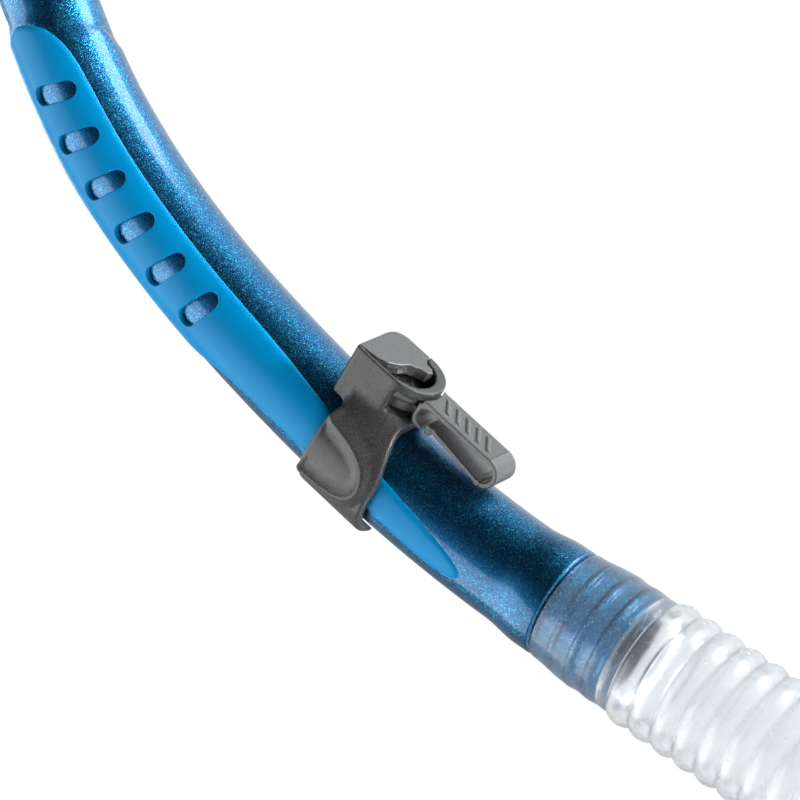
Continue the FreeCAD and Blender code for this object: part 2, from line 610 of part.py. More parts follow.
def tie_solid():
    """Locking tie round the mouthpiece's sleeve, with its square head on top."""
    reach, rise = "port_major + sleeve_wall + sleeve_gap", "port_minor + sleeve_wall + sleeve_gap"
    at_port = {"z": "port_z", "along": "Y"}
    band = oval("TieBand", reach + " + tie_t", rise + " + tie_t", "tie_from", "tie_from + tie_w", **at_port)
    lock = box("TieHead", ("-tie_head_half", "tie_head_half"),
               ("tie_from - tie_head_over", "tie_from + tie_w + tie_head_over"),
               ("port_z + tie_t / 2 + " + rise, "port_z + tie_head_rise + " + rise))
    inside = oval("TieInside", reach, rise, "tie_from - 2", "tie_from + tie_w + 2", **at_port)
    return cut("Tie", fuse("TieBlank", band, lock), inside)


node("mouth_chamber", chamber_solid(), mouth)
node("mouthpiece", mouthpiece_solid(), mouth)
node("mouthpiece_tie", tie_solid(), mouth)


# ---------------------------------------------------------------- purge valve

def seat_solid():
    """Ring pressed into the chamber's floor, with four spokes and a hub for the flap's stem."""
    ring = cut("SeatRing", cylinder("SeatDisc", "seat_r - pin_gap", "seat_t", z="-chamber_len"),
               cylinder("SeatOpening", "seat_r - seat_ring_w", "seat_t + 2", z="-1 - chamber_len"))
    hub = cylinder("Hub", "hub_r", "seat_t", z="-chamber_len")
    reach, width = ("1 - seat_r", "seat_r - 1"), ("-spoke_w / 2", "spoke_w / 2")
    spokes = [box(name, x, y, ("-chamber_len", "seat_t - chamber_len")) for name, x, y in (
        ("SpokeAcross", reach, width), ("SpokeAlong", width, reach))]
    stem_hole = cylinder("StemHole", "stem_r + stem_gap", "seat_t + 2", z="-1 - chamber_len")
    return cut("Seat", fuse("SeatBlank", ring, hub, *spokes), stem_hole)


def flap_solid():
    """Soft disc under the seat, on a stem whose bulb holds it above the hub."""
    disc = cylinder("Flap", "flap_r", "flap_t", z="-chamber_len - flap_gap - flap_t")
    stem = cylinder("Stem", "stem_r", "flap_gap + seat_t + purge_travel + 0.6",
                    z="-chamber_len - flap_gap - 0.1")
    bulb = doc.addObject("Part::Cone", "Bulb")
    bind(bulb, Radius1="bulb_r", Radius2="stem_r", Height="bulb_t")
    put(bulb, z="seat_t + purge_travel + 0.1 - chamber_len")
    return fuse("PurgeFlap", disc, stem, bulb)


def guard_solid():
    """Vented cup that covers the flap."""
    cup = cylinder("GuardCup", "guard_r", "guard_depth", z="-chamber_len - guard_depth")
    inside = cylinder("GuardInside", "guard_r - guard_wall", "guard_depth",
                      z="guard_wall - chamber_len - guard_depth")
    below, length = "-guard_wall - chamber_len - guard_depth", "3 * guard_wall"
    vents = [cylinder("GuardVent", "guard_hole_r", length, z=below)]
    for index in range(6):
        x, y = ("guard_ring_r * %s(%d * 60 deg)" % (ratio, index) for ratio in ("cos", "sin"))
        vents.append(cylinder("GuardVent%d" % index, "guard_hole_r", length, x, y, below))
    return cut("Guard", cup, inside, *vents)


node("purge_seat", seat_solid(), mouth)
node("purge_flap", flap_solid(), mouth)
node("purge_guard", guard_solid(), mouth)


# ---------------------------------------------------------------- float-valve top

def collar_solid():
    """Sleeve over the barrel's head, a base plate, the valve's riser and two ears for the pivot pin."""
    groove_r = "end_r + 2 * ring_r + sleeve_fit"
    sleeve = new_body("TopSleeve")
    turned(sleeve, [
        ("end_r + sleeve_fit", "-sleeve_len"), ("sleeve_r - 1", "-sleeve_len"),
        ("sleeve_r", "1 - sleeve_len"), ("sleeve_r", 1), ("end_r + sleeve_fit", 1)])
    turned(sleeve, [
        ("end_r", "ring_z - ring_r"), (groove_r, "ring_z - ring_r"),
        (groove_r, "ring_z + ring_r"), ("end_r", "ring_z + ring_r")], cutting=True)
    plate = oval("Plate", "top_major", "top_minor", 0, "plate_t", x="top_x")
    register = oval("Register", "top_major - shell_t - 0.1", "top_minor - shell_t - 0.1",
                    "plate_t", "plate_t + register_t", x="top_x")
    riser = cylinder("Riser", "riser_r", "seat_z - 1", z=1)
    solids = [plate, register, riser]
    for name, side in (("Far", ("ear_half", "ear_half + ear_w")),
                       ("Near", ("-ear_half - ear_w", "-ear_half"))):
        solids += [
            box(name + "EarFoot", ("pivot_x - 2", "pivot_x + 5.5"), side, (10, "seat_z - 3")),
            box(name + "Ear", ("pivot_x - 2", "pivot_x + 2"), side, ("seat_z - 4", "pivot_z + 2"))]
    bore = cylinder("RiserBore", "bore_r", "seat_z + 4", z=-2)
    pivot_hole = cylinder("PivotHole", "pivot_r + pin_gap", "through", "pivot_x", "-through / 2", "pivot_z",
                          along="Y")
    return fuse("Collar", sleeve, cut("CollarTop", fuse("CollarBlank", *solids), bore, pivot_hole))


def cap_solid():
    """Domed cover over the valve, with upright vents along both sides."""
    solids = []
    for name, inset, low in (("CapOutside", "0", "plate_t"), ("CapInside", "shell_t", "plate_t - 1")):
        wall = oval(name, "top_major - " + inset, "top_minor - " + inset, low, "cap_wall_top", x="top_x")
        dome = doc.addObject("Part::Ellipsoid", name + "Dome")
        bind(dome, Radius1="dome_h - " + inset, Radius2="top_major - " + inset,
             Radius3="top_minor - " + inset)
        put(dome, "top_x", 0, "cap_wall_top")
        solids.append(fuse(name + "Solid", wall, dome))
    vents = []
    for step in range(-2, 3):
        middle = "top_x + vent_pitch * (%d)" % step
        vents.append(box("Vent%d" % (step + 2), (middle + " - vent_w / 2", middle + " + vent_w / 2"),
                         ("-through / 2", "through / 2"), ("vent_low", "vent_high")))
    return cut("Cap", solids[0], solids[1], *vents)


def arm_solid():
    """Rocker: a plate over the seal, a boss on the pin and a tail with a peg for the float."""
    plate = box("ArmPlate", (0, "arm_len"), ("-arm_half", "arm_half"), ("arm_low", "arm_low + arm_t"))
    boss = cylinder("Boss", "boss_r", "2 * (ear_half - rim_gap)", y="rim_gap - ear_half", along="Y")
    lifted = fuse("ArmLifted", plate, boss)
    put(lifted, "pivot_x", 0, "pivot_z", Y_AXIS, value("valve_open"))
    tail = box("ArmTail", ("float_out + 3", "pivot_x"), ("-tail_half", "tail_half"),
               ("float_high", "float_high + tail_t"))
    peg = cylinder("Peg", "peg_r", 5, "float_out + peg_x", 0, "float_high - 4")
    hole = cylinder("ArmHole", "pivot_r + pivot_gap", "through", "pivot_x", "-through / 2", "pivot_z",
                    along="Y")
    return cut("Arm", fuse("ArmBlank", lifted, tail, peg), hole)


def float_solid():
    """Block inside the cap's far end, with a socket for the arm's peg."""
    block = box("FloatBlock", ("float_out", "float_in"), ("-float_half", "float_half"),
                ("float_low", "float_high"))
    rounded = cylinder("FloatRound", "top_minor", "through", "float_in - float_half")
    return cut("Float", common("FloatBlank", block, rounded),
               cylinder("PegHole", "peg_r + pin_gap", 6, "float_out + peg_x", 0, "float_high - 4.2"))


node("top_collar", collar_solid(), top)
seal_ring = doc.addObject("Part::Torus", "SealRing")
bind(seal_ring, Radius1="end_r + ring_r", Radius2="ring_r")
node("collar_seal", seal_ring, frame_at(top, z="ring_z"))
node("top_cap", cap_solid(), top)
node("valve_pin", cylinder("ValvePin", "pivot_r", "2 * (ear_half + ear_w) + 0.6"),
     frame_at(top, "pivot_x", "-ear_half - ear_w - 0.3", "pivot_z", X_AXIS, -90))
node("valve_arm", arm_solid(), top)
rocker = frame_at(top, "pivot_x", 0, "pivot_z", Y_AXIS, value("valve_open"))
node("valve_seal", cylinder("ValveSeal", "seal_r", "seal_t"),
     frame_at(rocker, "-pivot_x", 0, "arm_low - seal_t"))
node("valve_float", float_solid(), top)


# ---------------------------------------------------------------- recompute, test and write

doc.recompute()

for obj in doc.Objects:
    if {"Invalid", "Error"} & set(obj.State):
        raise RuntimeError("%s (%s) failed: %s" % (obj.Label, obj.Name, obj.State))
os.makedirs("parts", exist_ok=True)
for obj in nodes:
    if obj.Shape.isNull() or not obj.Shape.isValid():
        raise RuntimeError("%s has no valid shape" % obj.Label)
    obj.Shape.exportStep("parts/%s.step" % obj.Label)
    size = obj.Shape.BoundBox
    print("%-16s solids %d  volume %8.1f  x %.1f..%.1f  y %.1f..%.1f  z %.1f..%.1f" % (
        obj.Label, len(obj.Shape.Solids), obj.Shape.Volume, size.XMin, size.XMax, size.YMin, size.YMax,
        size.ZMin, size.ZMax))
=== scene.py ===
"""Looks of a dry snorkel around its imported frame: flaked and satin plastic, grained clip, clear silicone.

Lengths are millimetres in the row frame, until add_mesh turns them into metres.
"""
import json
from math import cos, pi, radians, sin

import bpy
import numpy as np
from mathutils import Matrix, Vector
from mathutils.geometry import delaunay_2d_cdt


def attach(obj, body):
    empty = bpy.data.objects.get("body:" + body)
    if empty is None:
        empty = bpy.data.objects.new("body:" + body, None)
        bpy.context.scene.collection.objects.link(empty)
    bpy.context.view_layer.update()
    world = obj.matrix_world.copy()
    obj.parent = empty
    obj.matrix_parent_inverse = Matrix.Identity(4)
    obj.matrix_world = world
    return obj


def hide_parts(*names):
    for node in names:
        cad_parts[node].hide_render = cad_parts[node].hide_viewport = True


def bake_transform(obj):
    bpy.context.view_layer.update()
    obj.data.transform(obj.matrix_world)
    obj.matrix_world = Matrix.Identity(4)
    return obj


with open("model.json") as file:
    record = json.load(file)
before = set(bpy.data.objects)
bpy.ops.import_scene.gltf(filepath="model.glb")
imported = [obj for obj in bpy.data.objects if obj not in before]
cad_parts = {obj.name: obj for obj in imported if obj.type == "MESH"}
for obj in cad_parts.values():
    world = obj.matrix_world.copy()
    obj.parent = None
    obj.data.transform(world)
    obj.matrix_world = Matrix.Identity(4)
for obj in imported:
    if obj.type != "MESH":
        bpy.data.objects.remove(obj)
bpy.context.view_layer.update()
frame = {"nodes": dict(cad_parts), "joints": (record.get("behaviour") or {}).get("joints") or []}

MM = 0.001
JOINTS = {joint["name"]: joint for joint in frame["joints"]}


# ---------------------------------------------------------------- frames

def joint_point(name):
    return np.array(JOINTS[name]["pos_m"]) / MM


def joint_axis(name):
    return np.array(JOINTS[name]["axis"], float)


class Local:
    """A frame of the model: its origin and its three axes, in the row frame."""

    def __init__(self, origin, x, y, z):
        self.origin = np.asarray(origin, float)
        self.axes = np.array([x, y, z], float)

    def to_row(self, points):
        return self.origin + np.asarray(points, float) @ self.axes


CLIP_POINT = joint_point("clip_turn")
ARCS_UP = ((455, 6), (239, 9), (142, 14.5))
ARCS_DOWN = ((320, 9.5),)
FOOT = -56.51
FOOT_SPIGOT = -18.5
HEAD = 176.1


def line_at(distance):
    """Points on the barrel's line at distances above the clip, and its lean towards the head in radians."""
    distance = np.asarray(distance, float)
    x = np.full(distance.shape, CLIP_POINT[0])
    z = np.full(distance.shape, CLIP_POINT[2])
    lean = np.zeros(distance.shape)
    for side, arcs in ((1, ARCS_UP), (-1, ARCS_DOWN)):
        left = np.maximum(side * distance, 0)
        start = 0.0
        for radius, bend in arcs:
            step = np.minimum(left, radius * radians(bend))
            end = start + side * step / radius
            x = x + radius * (cos(start) - np.cos(end))
            z = z + radius * (np.sin(end) - sin(start))
            lean = np.where(step > 0, end, lean)
            left = left - step
            start += side * radians(bend)
        x = x + side * left * sin(start)
        z = z + side * left * cos(start)
    return x, z, lean


def on_tube(distance, angle, radius):
    """Points round the barrel's line: angle 0 faces the head side and -90 degrees faces -Y."""
    x, z, lean = line_at(distance)
    out = radius * np.cos(angle)
    return np.stack([x + out * np.cos(lean), CLIP_POINT[1] + radius * np.sin(angle),
                     z - out * np.sin(lean)], axis=-1)


def on_line(distance):
    x, z, lean = line_at(distance)
    return np.array([float(x), CLIP_POINT[1], float(z)]), float(lean)


Y_AXIS = np.array([0.0, 1.0, 0.0])
foot_point, _ = on_line(FOOT)
head_point, head_lean = on_line(HEAD)
down = joint_axis("purge_lift")
CUFF, WAVES, PITCH, LOW_CUFF = 21.9, 12, 5.85, 16
HOSE_LEN = CUFF + WAVES * PITCH + LOW_CUFF
clip_frame = Local(CLIP_POINT, joint_axis("loop_swivel"), joint_axis("button_press"), (0, 0, 1))
foot_frame = Local(foot_point, np.cross(Y_AXIS, -down), Y_AXIS, -down)
mouth_frame = Local(foot_point + HOSE_LEN * down, np.cross(Y_AXIS, -down), Y_AXIS, -down)
top_frame = Local(head_point, (cos(head_lean), 0, -sin(head_lean)), Y_AXIS,
                  (sin(head_lean), 0, cos(head_lean)))


# ---------------------------------------------------------------- materials

def add_node(tree, kind, **inputs):
    made = tree.nodes.new("ShaderNode" + kind)
    for name, value in inputs.items():
        made.inputs[name.replace("_", " ")].default_value = value
    return made


def set_inputs(tree, node, values):
    """Numbers or links on a node's first inputs."""
    for socket, value in zip(node.inputs, values):
        if isinstance(value, bpy.types.NodeSocket):
            tree.links.new(value, socket)
        else:
            socket.default_value = value


def maths(tree, operation, *values):
    made = tree.nodes.new("ShaderNodeMath")
    made.operation = operation
    set_inputs(tree, made, values)
    return made.outputs[0]


def vector_maths(tree, operation, *values):
    made = tree.nodes.new("ShaderNodeVectorMath")
    made.operation = operation
    set_inputs(tree, made, values)
    return made.outputs["Value" if operation == "DOT_PRODUCT" else "Vector"]


def new_material(name, **inputs):
    """Principled material with constants set on its own sockets."""
    material = bpy.data.materials.new(name)
    material.use_nodes = True
    tree = material.node_tree
    shader = tree.nodes["Principled BSDF"]
    for socket, value in inputs.items():
        shader.inputs[socket.replace("_", " ")].default_value = value
    where = add_node(tree, "TexCoord").outputs["Object"]
    return material, tree, shader, where


def noise(tree, where, size, detail=2.0, roughness=0.5):
    made = add_node(tree, "TexNoise", Scale=1 / (size * MM), Detail=detail, Roughness=roughness)
    tree.links.new(where, made.inputs["Vector"])
    return made.outputs["Fac"]


def ramp(tree, value, *stops):
    """Colour ramp with (position, colour) stops."""
    made = tree.nodes.new("ShaderNodeValToRGB")
    elements = made.color_ramp.elements
    while len(elements) < len(stops):
        elements.new(1.0)
    for element, (position, colour) in zip(elements, stops):
        element.position = position
        element.color = (*colour, 1.0)
    tree.links.new(value, made.inputs["Fac"])
    return made.outputs["Color"]


def uneven_sheen(tree, shader, pattern, low, high):
    """Roughness that drifts between two values with a pattern."""
    made = add_node(tree, "MapRange")
    set_inputs(tree, made, (pattern, 0.3, 0.7, low, high))
    tree.links.new(made.outputs["Result"], shader.inputs["Roughness"])


def bump(tree, shader, height, depth):
    made = add_node(tree, "Bump", Strength=1.0, Distance=depth * MM)
    tree.links.new(height, made.inputs["Height"])
    tree.links.new(made.outputs["Normal"], shader.inputs["Normal"])


FLAKE_SIZE, FLAKE_TILT = 0.19, 0.22


def flake_plastic(name, deep, mid, glint):
    """Clear-coated plastic full of small metal flakes, each tilted its own way."""
    material, tree, shader, where = new_material(
        name, Metallic=1.0, Roughness=0.44, Coat_Weight=0.8, Coat_Roughness=0.13, Coat_IOR=1.45)
    flakes = add_node(tree, "TexVoronoi", Scale=1 / (FLAKE_SIZE * MM))
    tree.links.new(where, flakes.inputs["Vector"])
    split = tree.nodes.new("ShaderNodeSeparateColor")
    tree.links.new(flakes.outputs["Color"], split.inputs["Color"])
    colour = ramp(tree, split.outputs["Red"], (0.0, deep), (0.55, mid), (0.86, mid), (1.0, glint))
    tree.links.new(colour, shader.inputs["Base Color"])
    centred = vector_maths(tree, "SUBTRACT", flakes.outputs["Color"], (0.5, 0.5, 0.5))
    tilt = vector_maths(tree, "MULTIPLY", centred, (FLAKE_TILT, FLAKE_TILT, FLAKE_TILT))
    tilted = vector_maths(tree, "ADD", tilt, add_node(tree, "NewGeometry").outputs["Normal"])
    tree.links.new(vector_maths(tree, "NORMALIZE", tilted), shader.inputs["Normal"])
    return material


def grained_plastic(name, dark, light, grain, roughness, depth, coat=0.0):
    """Moulded plastic: fine two-tone speckle, uneven sheen and a shallow spark-eroded grain."""
    material, tree, shader, where = new_material(name, Coat_Weight=coat, Coat_Roughness=0.2)
    speckle = noise(tree, where, grain, detail=3.0, roughness=0.7)
    tree.links.new(ramp(tree, speckle, (0.36, dark), (0.66, light)), shader.inputs["Base Color"])
    uneven_sheen(tree, shader, noise(tree, where, grain * 30), roughness - 0.05, roughness + 0.06)
    bump(tree, shader, noise(tree, where, grain * 1.3), depth)
    return material


def satin_plastic(name, colour, shade):
    """Smooth moulded plastic with a soft sheen, slight flow marks and barely uneven gloss."""
    material, tree, shader, where = new_material(
        name, Specular_IOR_Level=0.12, Coat_Weight=0.03, Coat_Roughness=0.3)
    flow = noise(tree, where, 14, detail=3.0)
    tree.links.new(ramp(tree, flow, (0.3, shade), (0.7, colour)), shader.inputs["Base Color"])
    uneven_sheen(tree, shader, noise(tree, where, 3.0), 0.33, 0.40)
    bump(tree, shader, noise(tree, where, 0.5), 0.006)
    return material


def silicone(name, colour, transmission, roughness, haze):
    """Clear to frosted silicone with faint moulding haze and dust in its surface."""
    material, tree, shader, where = new_material(name, Transmission_Weight=transmission, IOR=1.41)
    cloud = noise(tree, where, 5.0, detail=4.0)
    tree.links.new(ramp(tree, cloud, (0.3, haze), (0.7, colour)), shader.inputs["Base Color"])
    uneven_sheen(tree, shader, noise(tree, where, 1.5, detail=4.0), roughness - 0.06, roughness + 0.08)
    bump(tree, shader, noise(tree, where, 1.2), 0.012)
    return material


def steel(name):
    """Turned stainless pin: fine lines round it in sheen and height."""
    material, tree, shader, where = new_material(name, Metallic=1.0, Base_Color=(0.62, 0.62, 0.63, 1.0))
    turned_marks = noise(tree, where, 0.15, detail=4.0)
    uneven_sheen(tree, shader, turned_marks, 0.18, 0.36)
    bump(tree, shader, turned_marks, 0.004)
    return material


BLUE_FLAKE = flake_plastic("blue_flake", (0.006, 0.022, 0.14), (0.010, 0.132, 0.29), (0.06, 0.52, 0.60))
INLAY_BLUE = satin_plastic("inlay_blue", (0.0, 0.29, 0.64), (0.0, 0.265, 0.60))
CLIP_GREY = grained_plastic("clip_grey", (0.014, 0.014, 0.0145), (0.105, 0.105, 0.106), 0.26, 0.40, 0.035)
SMOOTH_GREY = grained_plastic("smooth_grey", (0.085, 0.085, 0.086), (0.13, 0.13, 0.131), 0.5, 0.33, 0.008,
                              coat=0.2)
CLEAR_SILICONE = silicone("clear_silicone", (0.95, 0.97, 0.988), 0.92, 0.2, (0.915, 0.945, 0.972))
MOUTH_SILICONE = silicone("mouth_silicone", (0.86, 0.91, 0.95), 0.6, 0.34, (0.78, 0.86, 0.92))
SEAL_RUBBER = grained_plastic("seal_rubber", (0.012, 0.012, 0.013), (0.025, 0.025, 0.027), 0.4, 0.55, 0.012)
VALVE_WHITE = grained_plastic("valve_white", (0.66, 0.68, 0.70), (0.80, 0.82, 0.83), 0.6, 0.42, 0.01)
PIN_STEEL = steel("pin_steel")


# ---------------------------------------------------------------- meshes

def add_mesh(name, points, faces, material, sharp=40):
    """Smooth-shaded object from points in millimetres; edges over sharp degrees stay crisp."""
    mesh = bpy.data.meshes.new(name)
    mesh.from_pydata((np.asarray(points, float) * MM).tolist(), [], faces)
    mesh.materials.append(material)
    mesh.shade_smooth()
    mesh.set_sharp_from_angle(angle=radians(sharp))
    piece = bpy.data.objects.new(name, mesh)
    bpy.context.scene.collection.objects.link(piece)
    return piece


def ring_faces(rows, columns):
    """Outward quads of a surface that closes both along its rows and round its columns."""
    row, column = np.meshgrid(np.arange(rows), np.arange(columns), indexing="ij")
    below, beside = (row + 1) % rows, (column + 1) % columns
    return np.stack([below * columns + column, below * columns + beside,
                     row * columns + beside, row * columns + column], axis=-1).reshape(-1, 4).tolist()


def smooth(value):
    value = np.clip(value, 0, 1)
    return value * value * (3 - 2 * value)


# ---------------------------------------------------------------- moulded shapes as signed distances

def block(p, low, high, edge=0.0):
    """Box between two corners, its edges rounded to a radius."""
    reach = [np.abs(axis - (a + b) / 2) - (b - a) / 2 + edge for axis, a, b in zip(p, low, high)]
    outside = np.sqrt(sum(np.maximum(r, 0) ** 2 for r in reach))
    return outside + np.minimum(np.maximum(np.maximum(reach[0], reach[1]), reach[2]), 0) - edge


def capped(flat, height, low, high, edge=0.0):
    """Prism of a flat distance between two heights, its rims rounded to a radius."""
    flat, ends = flat + edge, np.abs(height - (low + high) / 2) - (high - low) / 2 + edge
    outside = np.sqrt(np.maximum(flat, 0) ** 2 + np.maximum(ends, 0) ** 2)
    return outside + np.minimum(np.maximum(flat, ends), 0) - edge


def disc(u, v, radius, u0=0.0, v0=0.0):
    return np.hypot(u - u0, v - v0) - radius


def ellipse(u, v, major, minor):
    near = np.sqrt((u / major) ** 2 + (v / minor) ** 2) + 1e-9
    slope = np.sqrt((u / major ** 2) ** 2 + (v / minor ** 2) ** 2) + 1e-9
    return near * (near - 1) / slope


def polygon(u, v, corners):
    """Flat distance to a polygon, negative inside it."""
    nearest, sign = np.inf, 1.0
    for (u0, v0), (u1, v1) in zip(corners, corners[1:] + corners[:1]):
        along_u, along_v = u1 - u0, v1 - v0
        share = np.clip(((u - u0) * along_u + (v - v0) * along_v) / (along_u ** 2 + along_v ** 2), 0, 1)
        nearest = np.minimum(nearest, np.hypot(u - u0 - along_u * share, v - v0 - along_v * share))
        if v0 != v1:
            crossed = ((v >= v0) != (v >= v1)) & (u < u0 + (v - v0) * along_u / along_v)
            sign = np.where(crossed, -sign, sign)
    return sign * nearest


def join(a, b, fillet=0.0):
    """Union of two shapes, with a fillet where they meet."""
    if np.max(fillet) == 0:
        return np.minimum(a, b)
    overlap = np.maximum(fillet - np.abs(a - b), 0) / fillet
    return np.minimum(a, b) - overlap ** 2 * fillet / 4


def carve(a, b, fillet=0.0):
    """First shape without the second."""
    return -join(-a, b, fillet)


def surface_net(values):
    """Points and quads where a grid of signed distances crosses zero, one point for each crossed cell."""
    cells = tuple(n - 1 for n in values.shape)
    total, count = np.zeros(cells + (3,)), np.zeros(cells)
    for axis in range(3):
        others = [other for other in range(3) if other != axis]
        for corner in ((0, 0), (0, 1), (1, 0), (1, 1)):
            start = [0, 0, 0]
            start[others[0]], start[others[1]] = corner
            first = tuple(slice(s, s + n) for s, n in zip(start, cells))
            start[axis] = 1
            second = tuple(slice(s, s + n) for s, n in zip(start, cells))
            here, there = values[first], values[second]
            crossed = (here < 0) != (there < 0)
            share = here[crossed] / (here[crossed] - there[crossed])
            offset = np.zeros((len(share), 3))
            offset[:, others[0]], offset[:, others[1]] = corner
            offset[:, axis] = share
            total[crossed] += offset
            count[crossed] += 1
    kept = np.argwhere(count > 0)
    points = kept + total[count > 0] / count[count > 0][:, None]
    index = np.full(cells, -1)
    index[count > 0] = np.arange(len(kept))
    faces = []
    for axis in range(3):
        across, up = np.eye(3, dtype=int)[(axis + 1) % 3], np.eye(3, dtype=int)[(axis + 2) % 3]
        here = np.take(values, range(cells[axis]), axis)
        there = np.take(values, range(1, cells[axis] + 1), axis)
        edges = np.argwhere((here < 0) != (there < 0))
        quads = [index[tuple((edges - shift).T)] for shift in (across + up, up, 0 * up, across)]
        quads = np.stack(quads, axis=1)
        inside_first = here[tuple(edges.T)] < 0
        faces += [quads[inside_first], quads[~inside_first][:, ::-1]]
    return points, np.concatenate(faces)


def mould(shape, low, high, step, local):
    """Points in the row frame and quads of a shape given as a signed distance in a local frame."""
    axes = [np.arange(a - 2.3 * step, b + 3 * step, step) for a, b in zip(low, high)]
    grid = shape(np.meshgrid(*axes, indexing="ij", sparse=True))
    points, faces = surface_net(np.broadcast_to(grid, [len(axis) for axis in axes]))
    points = points * step + [axis[0] for axis in axes]
    reach = step / 4
    for _ in range(3):
        here = shape(points.T)
        slope = np.stack([(shape((points + reach * unit).T) - shape((points - reach * unit).T)) / (2 * reach)
                          for unit in np.eye(3)], axis=1)
        size = np.maximum((slope ** 2).sum(axis=1), 0.25)
        points = points - np.clip(here / size, -reach, reach)[:, None] * slope
    return local.to_row(points), faces


def moulded(name, shape, low, high, step, local, material, slot, body, *replaced):
    points, faces = mould(shape, low, high, step, local)
    piece = add_mesh(name, points, faces.tolist(), material, sharp=60)
    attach(piece, body)
    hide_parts(*replaced)
    return piece


# ---------------------------------------------------------------- barrel

BARREL_R, NECK_R, END_R, BORE_R, SPIGOT_R = 12.2, 11.1, 10.3, 9.2, 10.5
SLEEVE_FROM = HEAD - 14
COLLAR_RISE, COLLAR_FLAT, COLLAR_RUN = 0.9, 4.0, 9.0
SHOULDER_ANGLES = (-180, -105, -60, -41, -3, 14, 90, 140, 180)
SHOULDER_HEIGHTS = (129, 130, 126, 123, 122, 117.5, 117, 121, 129)
RIB_HEIGHTS = (-5.4, -10.4, -15.4)
RIM_ROUND = 0.9
TIP_FROM = FOOT_SPIGOT + RIM_ROUND
QUARTER = pi / 2


def barrel_radius(distance, angle):
    """Outside radius: flared collar at the foot, plain tube, then a slanting shoulder down to the neck."""
    collar = COLLAR_RISE * smooth((FOOT + COLLAR_FLAT + COLLAR_RUN - distance) / COLLAR_RUN)
    rim = np.clip((FOOT + RIM_ROUND - distance) / RIM_ROUND, 0, 1)
    rim_round = RIM_ROUND * (1 - np.sqrt(1 - rim ** 2))
    shoulder = np.interp(np.degrees(angle), SHOULDER_ANGLES, SHOULDER_HEIGHTS)
    slim = 0.35 * smooth((distance - 92) / 24)
    body = BARREL_R - slim
    narrow = smooth((distance - shoulder + 2.5) / 5)
    in_sleeve = (NECK_R - END_R) * (distance > SLEEVE_FROM)
    return body + collar - rim_round - narrow * (body - NECK_R) - in_sleeve


def spigot_radius(height):
    ribs = sum(0.4 * np.exp(-((height - rib) / 0.75) ** 4) for rib in RIB_HEIGHTS)
    tip = np.clip((TIP_FROM - height) / RIM_ROUND, 0, 1)
    return SPIGOT_R + ribs - 0.8 * (1 - np.sqrt(1 - tip ** 2))


def barrel_points(columns):
    """Rings down the outside, over the spigot and back up the bore, as distances, angles and radii."""
    angle = np.linspace(-pi, pi, columns, endpoint=False)
    outside = np.concatenate([[HEAD, HEAD - 0.2, HEAD - 7, SLEEVE_FROM + 0.05, SLEEVE_FROM - 0.05],
                              np.arange(SLEEVE_FROM - 3, 134, -3), np.arange(134, FOOT + 2, -0.7),
                              FOOT + RIM_ROUND * (1 - np.sin(np.linspace(0, QUARTER, 9)))])
    spigot = np.concatenate([[-0.02], np.arange(-0.6, FOOT_SPIGOT + 1, -0.3),
                             TIP_FROM - RIM_ROUND * np.sin(np.linspace(0, QUARTER, 6))])
    bore = np.concatenate([[FOOT + FOOT_SPIGOT], np.arange(FOOT - 18, HEAD, 3), [HEAD]])
    radii = [barrel_radius(distance, angle) for distance in outside]
    radii[0] = radii[0] - 0.4
    radii += [np.full(columns, spigot_radius(height)) for height in spigot]
    radii += [np.full(columns, BORE_R)] * len(bore)
    distances = np.concatenate([outside, FOOT + spigot, bore])
    return distances[:, None], angle[None, :], np.array(radii)


# ---------------------------------------------------------------- grip inlay

OUTLINE = ((128.8, -104), (127.5, -84), (124.4, -66), (118.2, -52.5), (108, -46.8), (85, -46), (60, -46.5),
           (33, -49), (15, -57), (-9, -73), (-24, -84), (-33, -95), (-36.2, -107), (-33.6, -119),
           (-26, -123.5), (-8, -117.5), (11, -119), (29, -123), (40, -135), (48, -155), (58, -170),
           (80, -174), (105, -173), (119, -164), (125.5, -146), (128.2, -125))
OUTLINE_STEP, SLOT_STEP = 0.7, 0.45
SLOT_COUNT, SLOT_FIRST, SLOT_PITCH, SLOT_LEN, SLOT_W, SLOT_SLANT = 6, 50, 12.2, 11.5, 4.4, 14
PROUD, EDGE_RUN, SLOT_EDGE = 0.42, 1.7, 0.35
EDGE_DEPTHS, SLOT_DEPTHS = (0.1, 0.25, 0.45, 0.7, 1.0, 1.35, 1.7), (0.08, 0.2, 0.35)
EDGE_DROP, SLOT_DROP, UNDERSIDE = 0.45, 0.3, -0.7
RECESS = 0.85


def smooth_loop(corners, per_span=10):
    """Closed curve through corners, as a ring of points."""
    corners = np.array(corners, float)
    before, after, beyond = np.roll(corners, 1, 0), np.roll(corners, -1, 0), np.roll(corners, -2, 0)
    points = []
    for share in np.arange(per_span) / per_span:
        points.append(0.5 * (2 * corners + (after - before) * share
                             + (2 * before - 5 * corners + 4 * after - beyond) * share ** 2
                             + (3 * corners - before - 3 * after + beyond) * share ** 3))
    return np.stack(points, axis=1).reshape(-1, 2)


def unrolled(pairs):
    """(distance, degrees) pairs as (distance, arc length) pairs on the barrel's surface."""
    return np.array([(distance, radians(angle) * BARREL_R) for distance, angle in pairs])


def evenly(loop, spacing):
    """Closed loop resampled at even steps."""
    closed = np.vstack([loop, loop[:1]])
    run = np.concatenate([[0], np.cumsum(np.hypot(*np.diff(closed, axis=0).T))])
    marks = np.linspace(0, run[-1], max(int(run[-1] / spacing), 8), endpoint=False)
    return np.stack([np.interp(marks, run, closed[:, 0]), np.interp(marks, run, closed[:, 1])], axis=1)


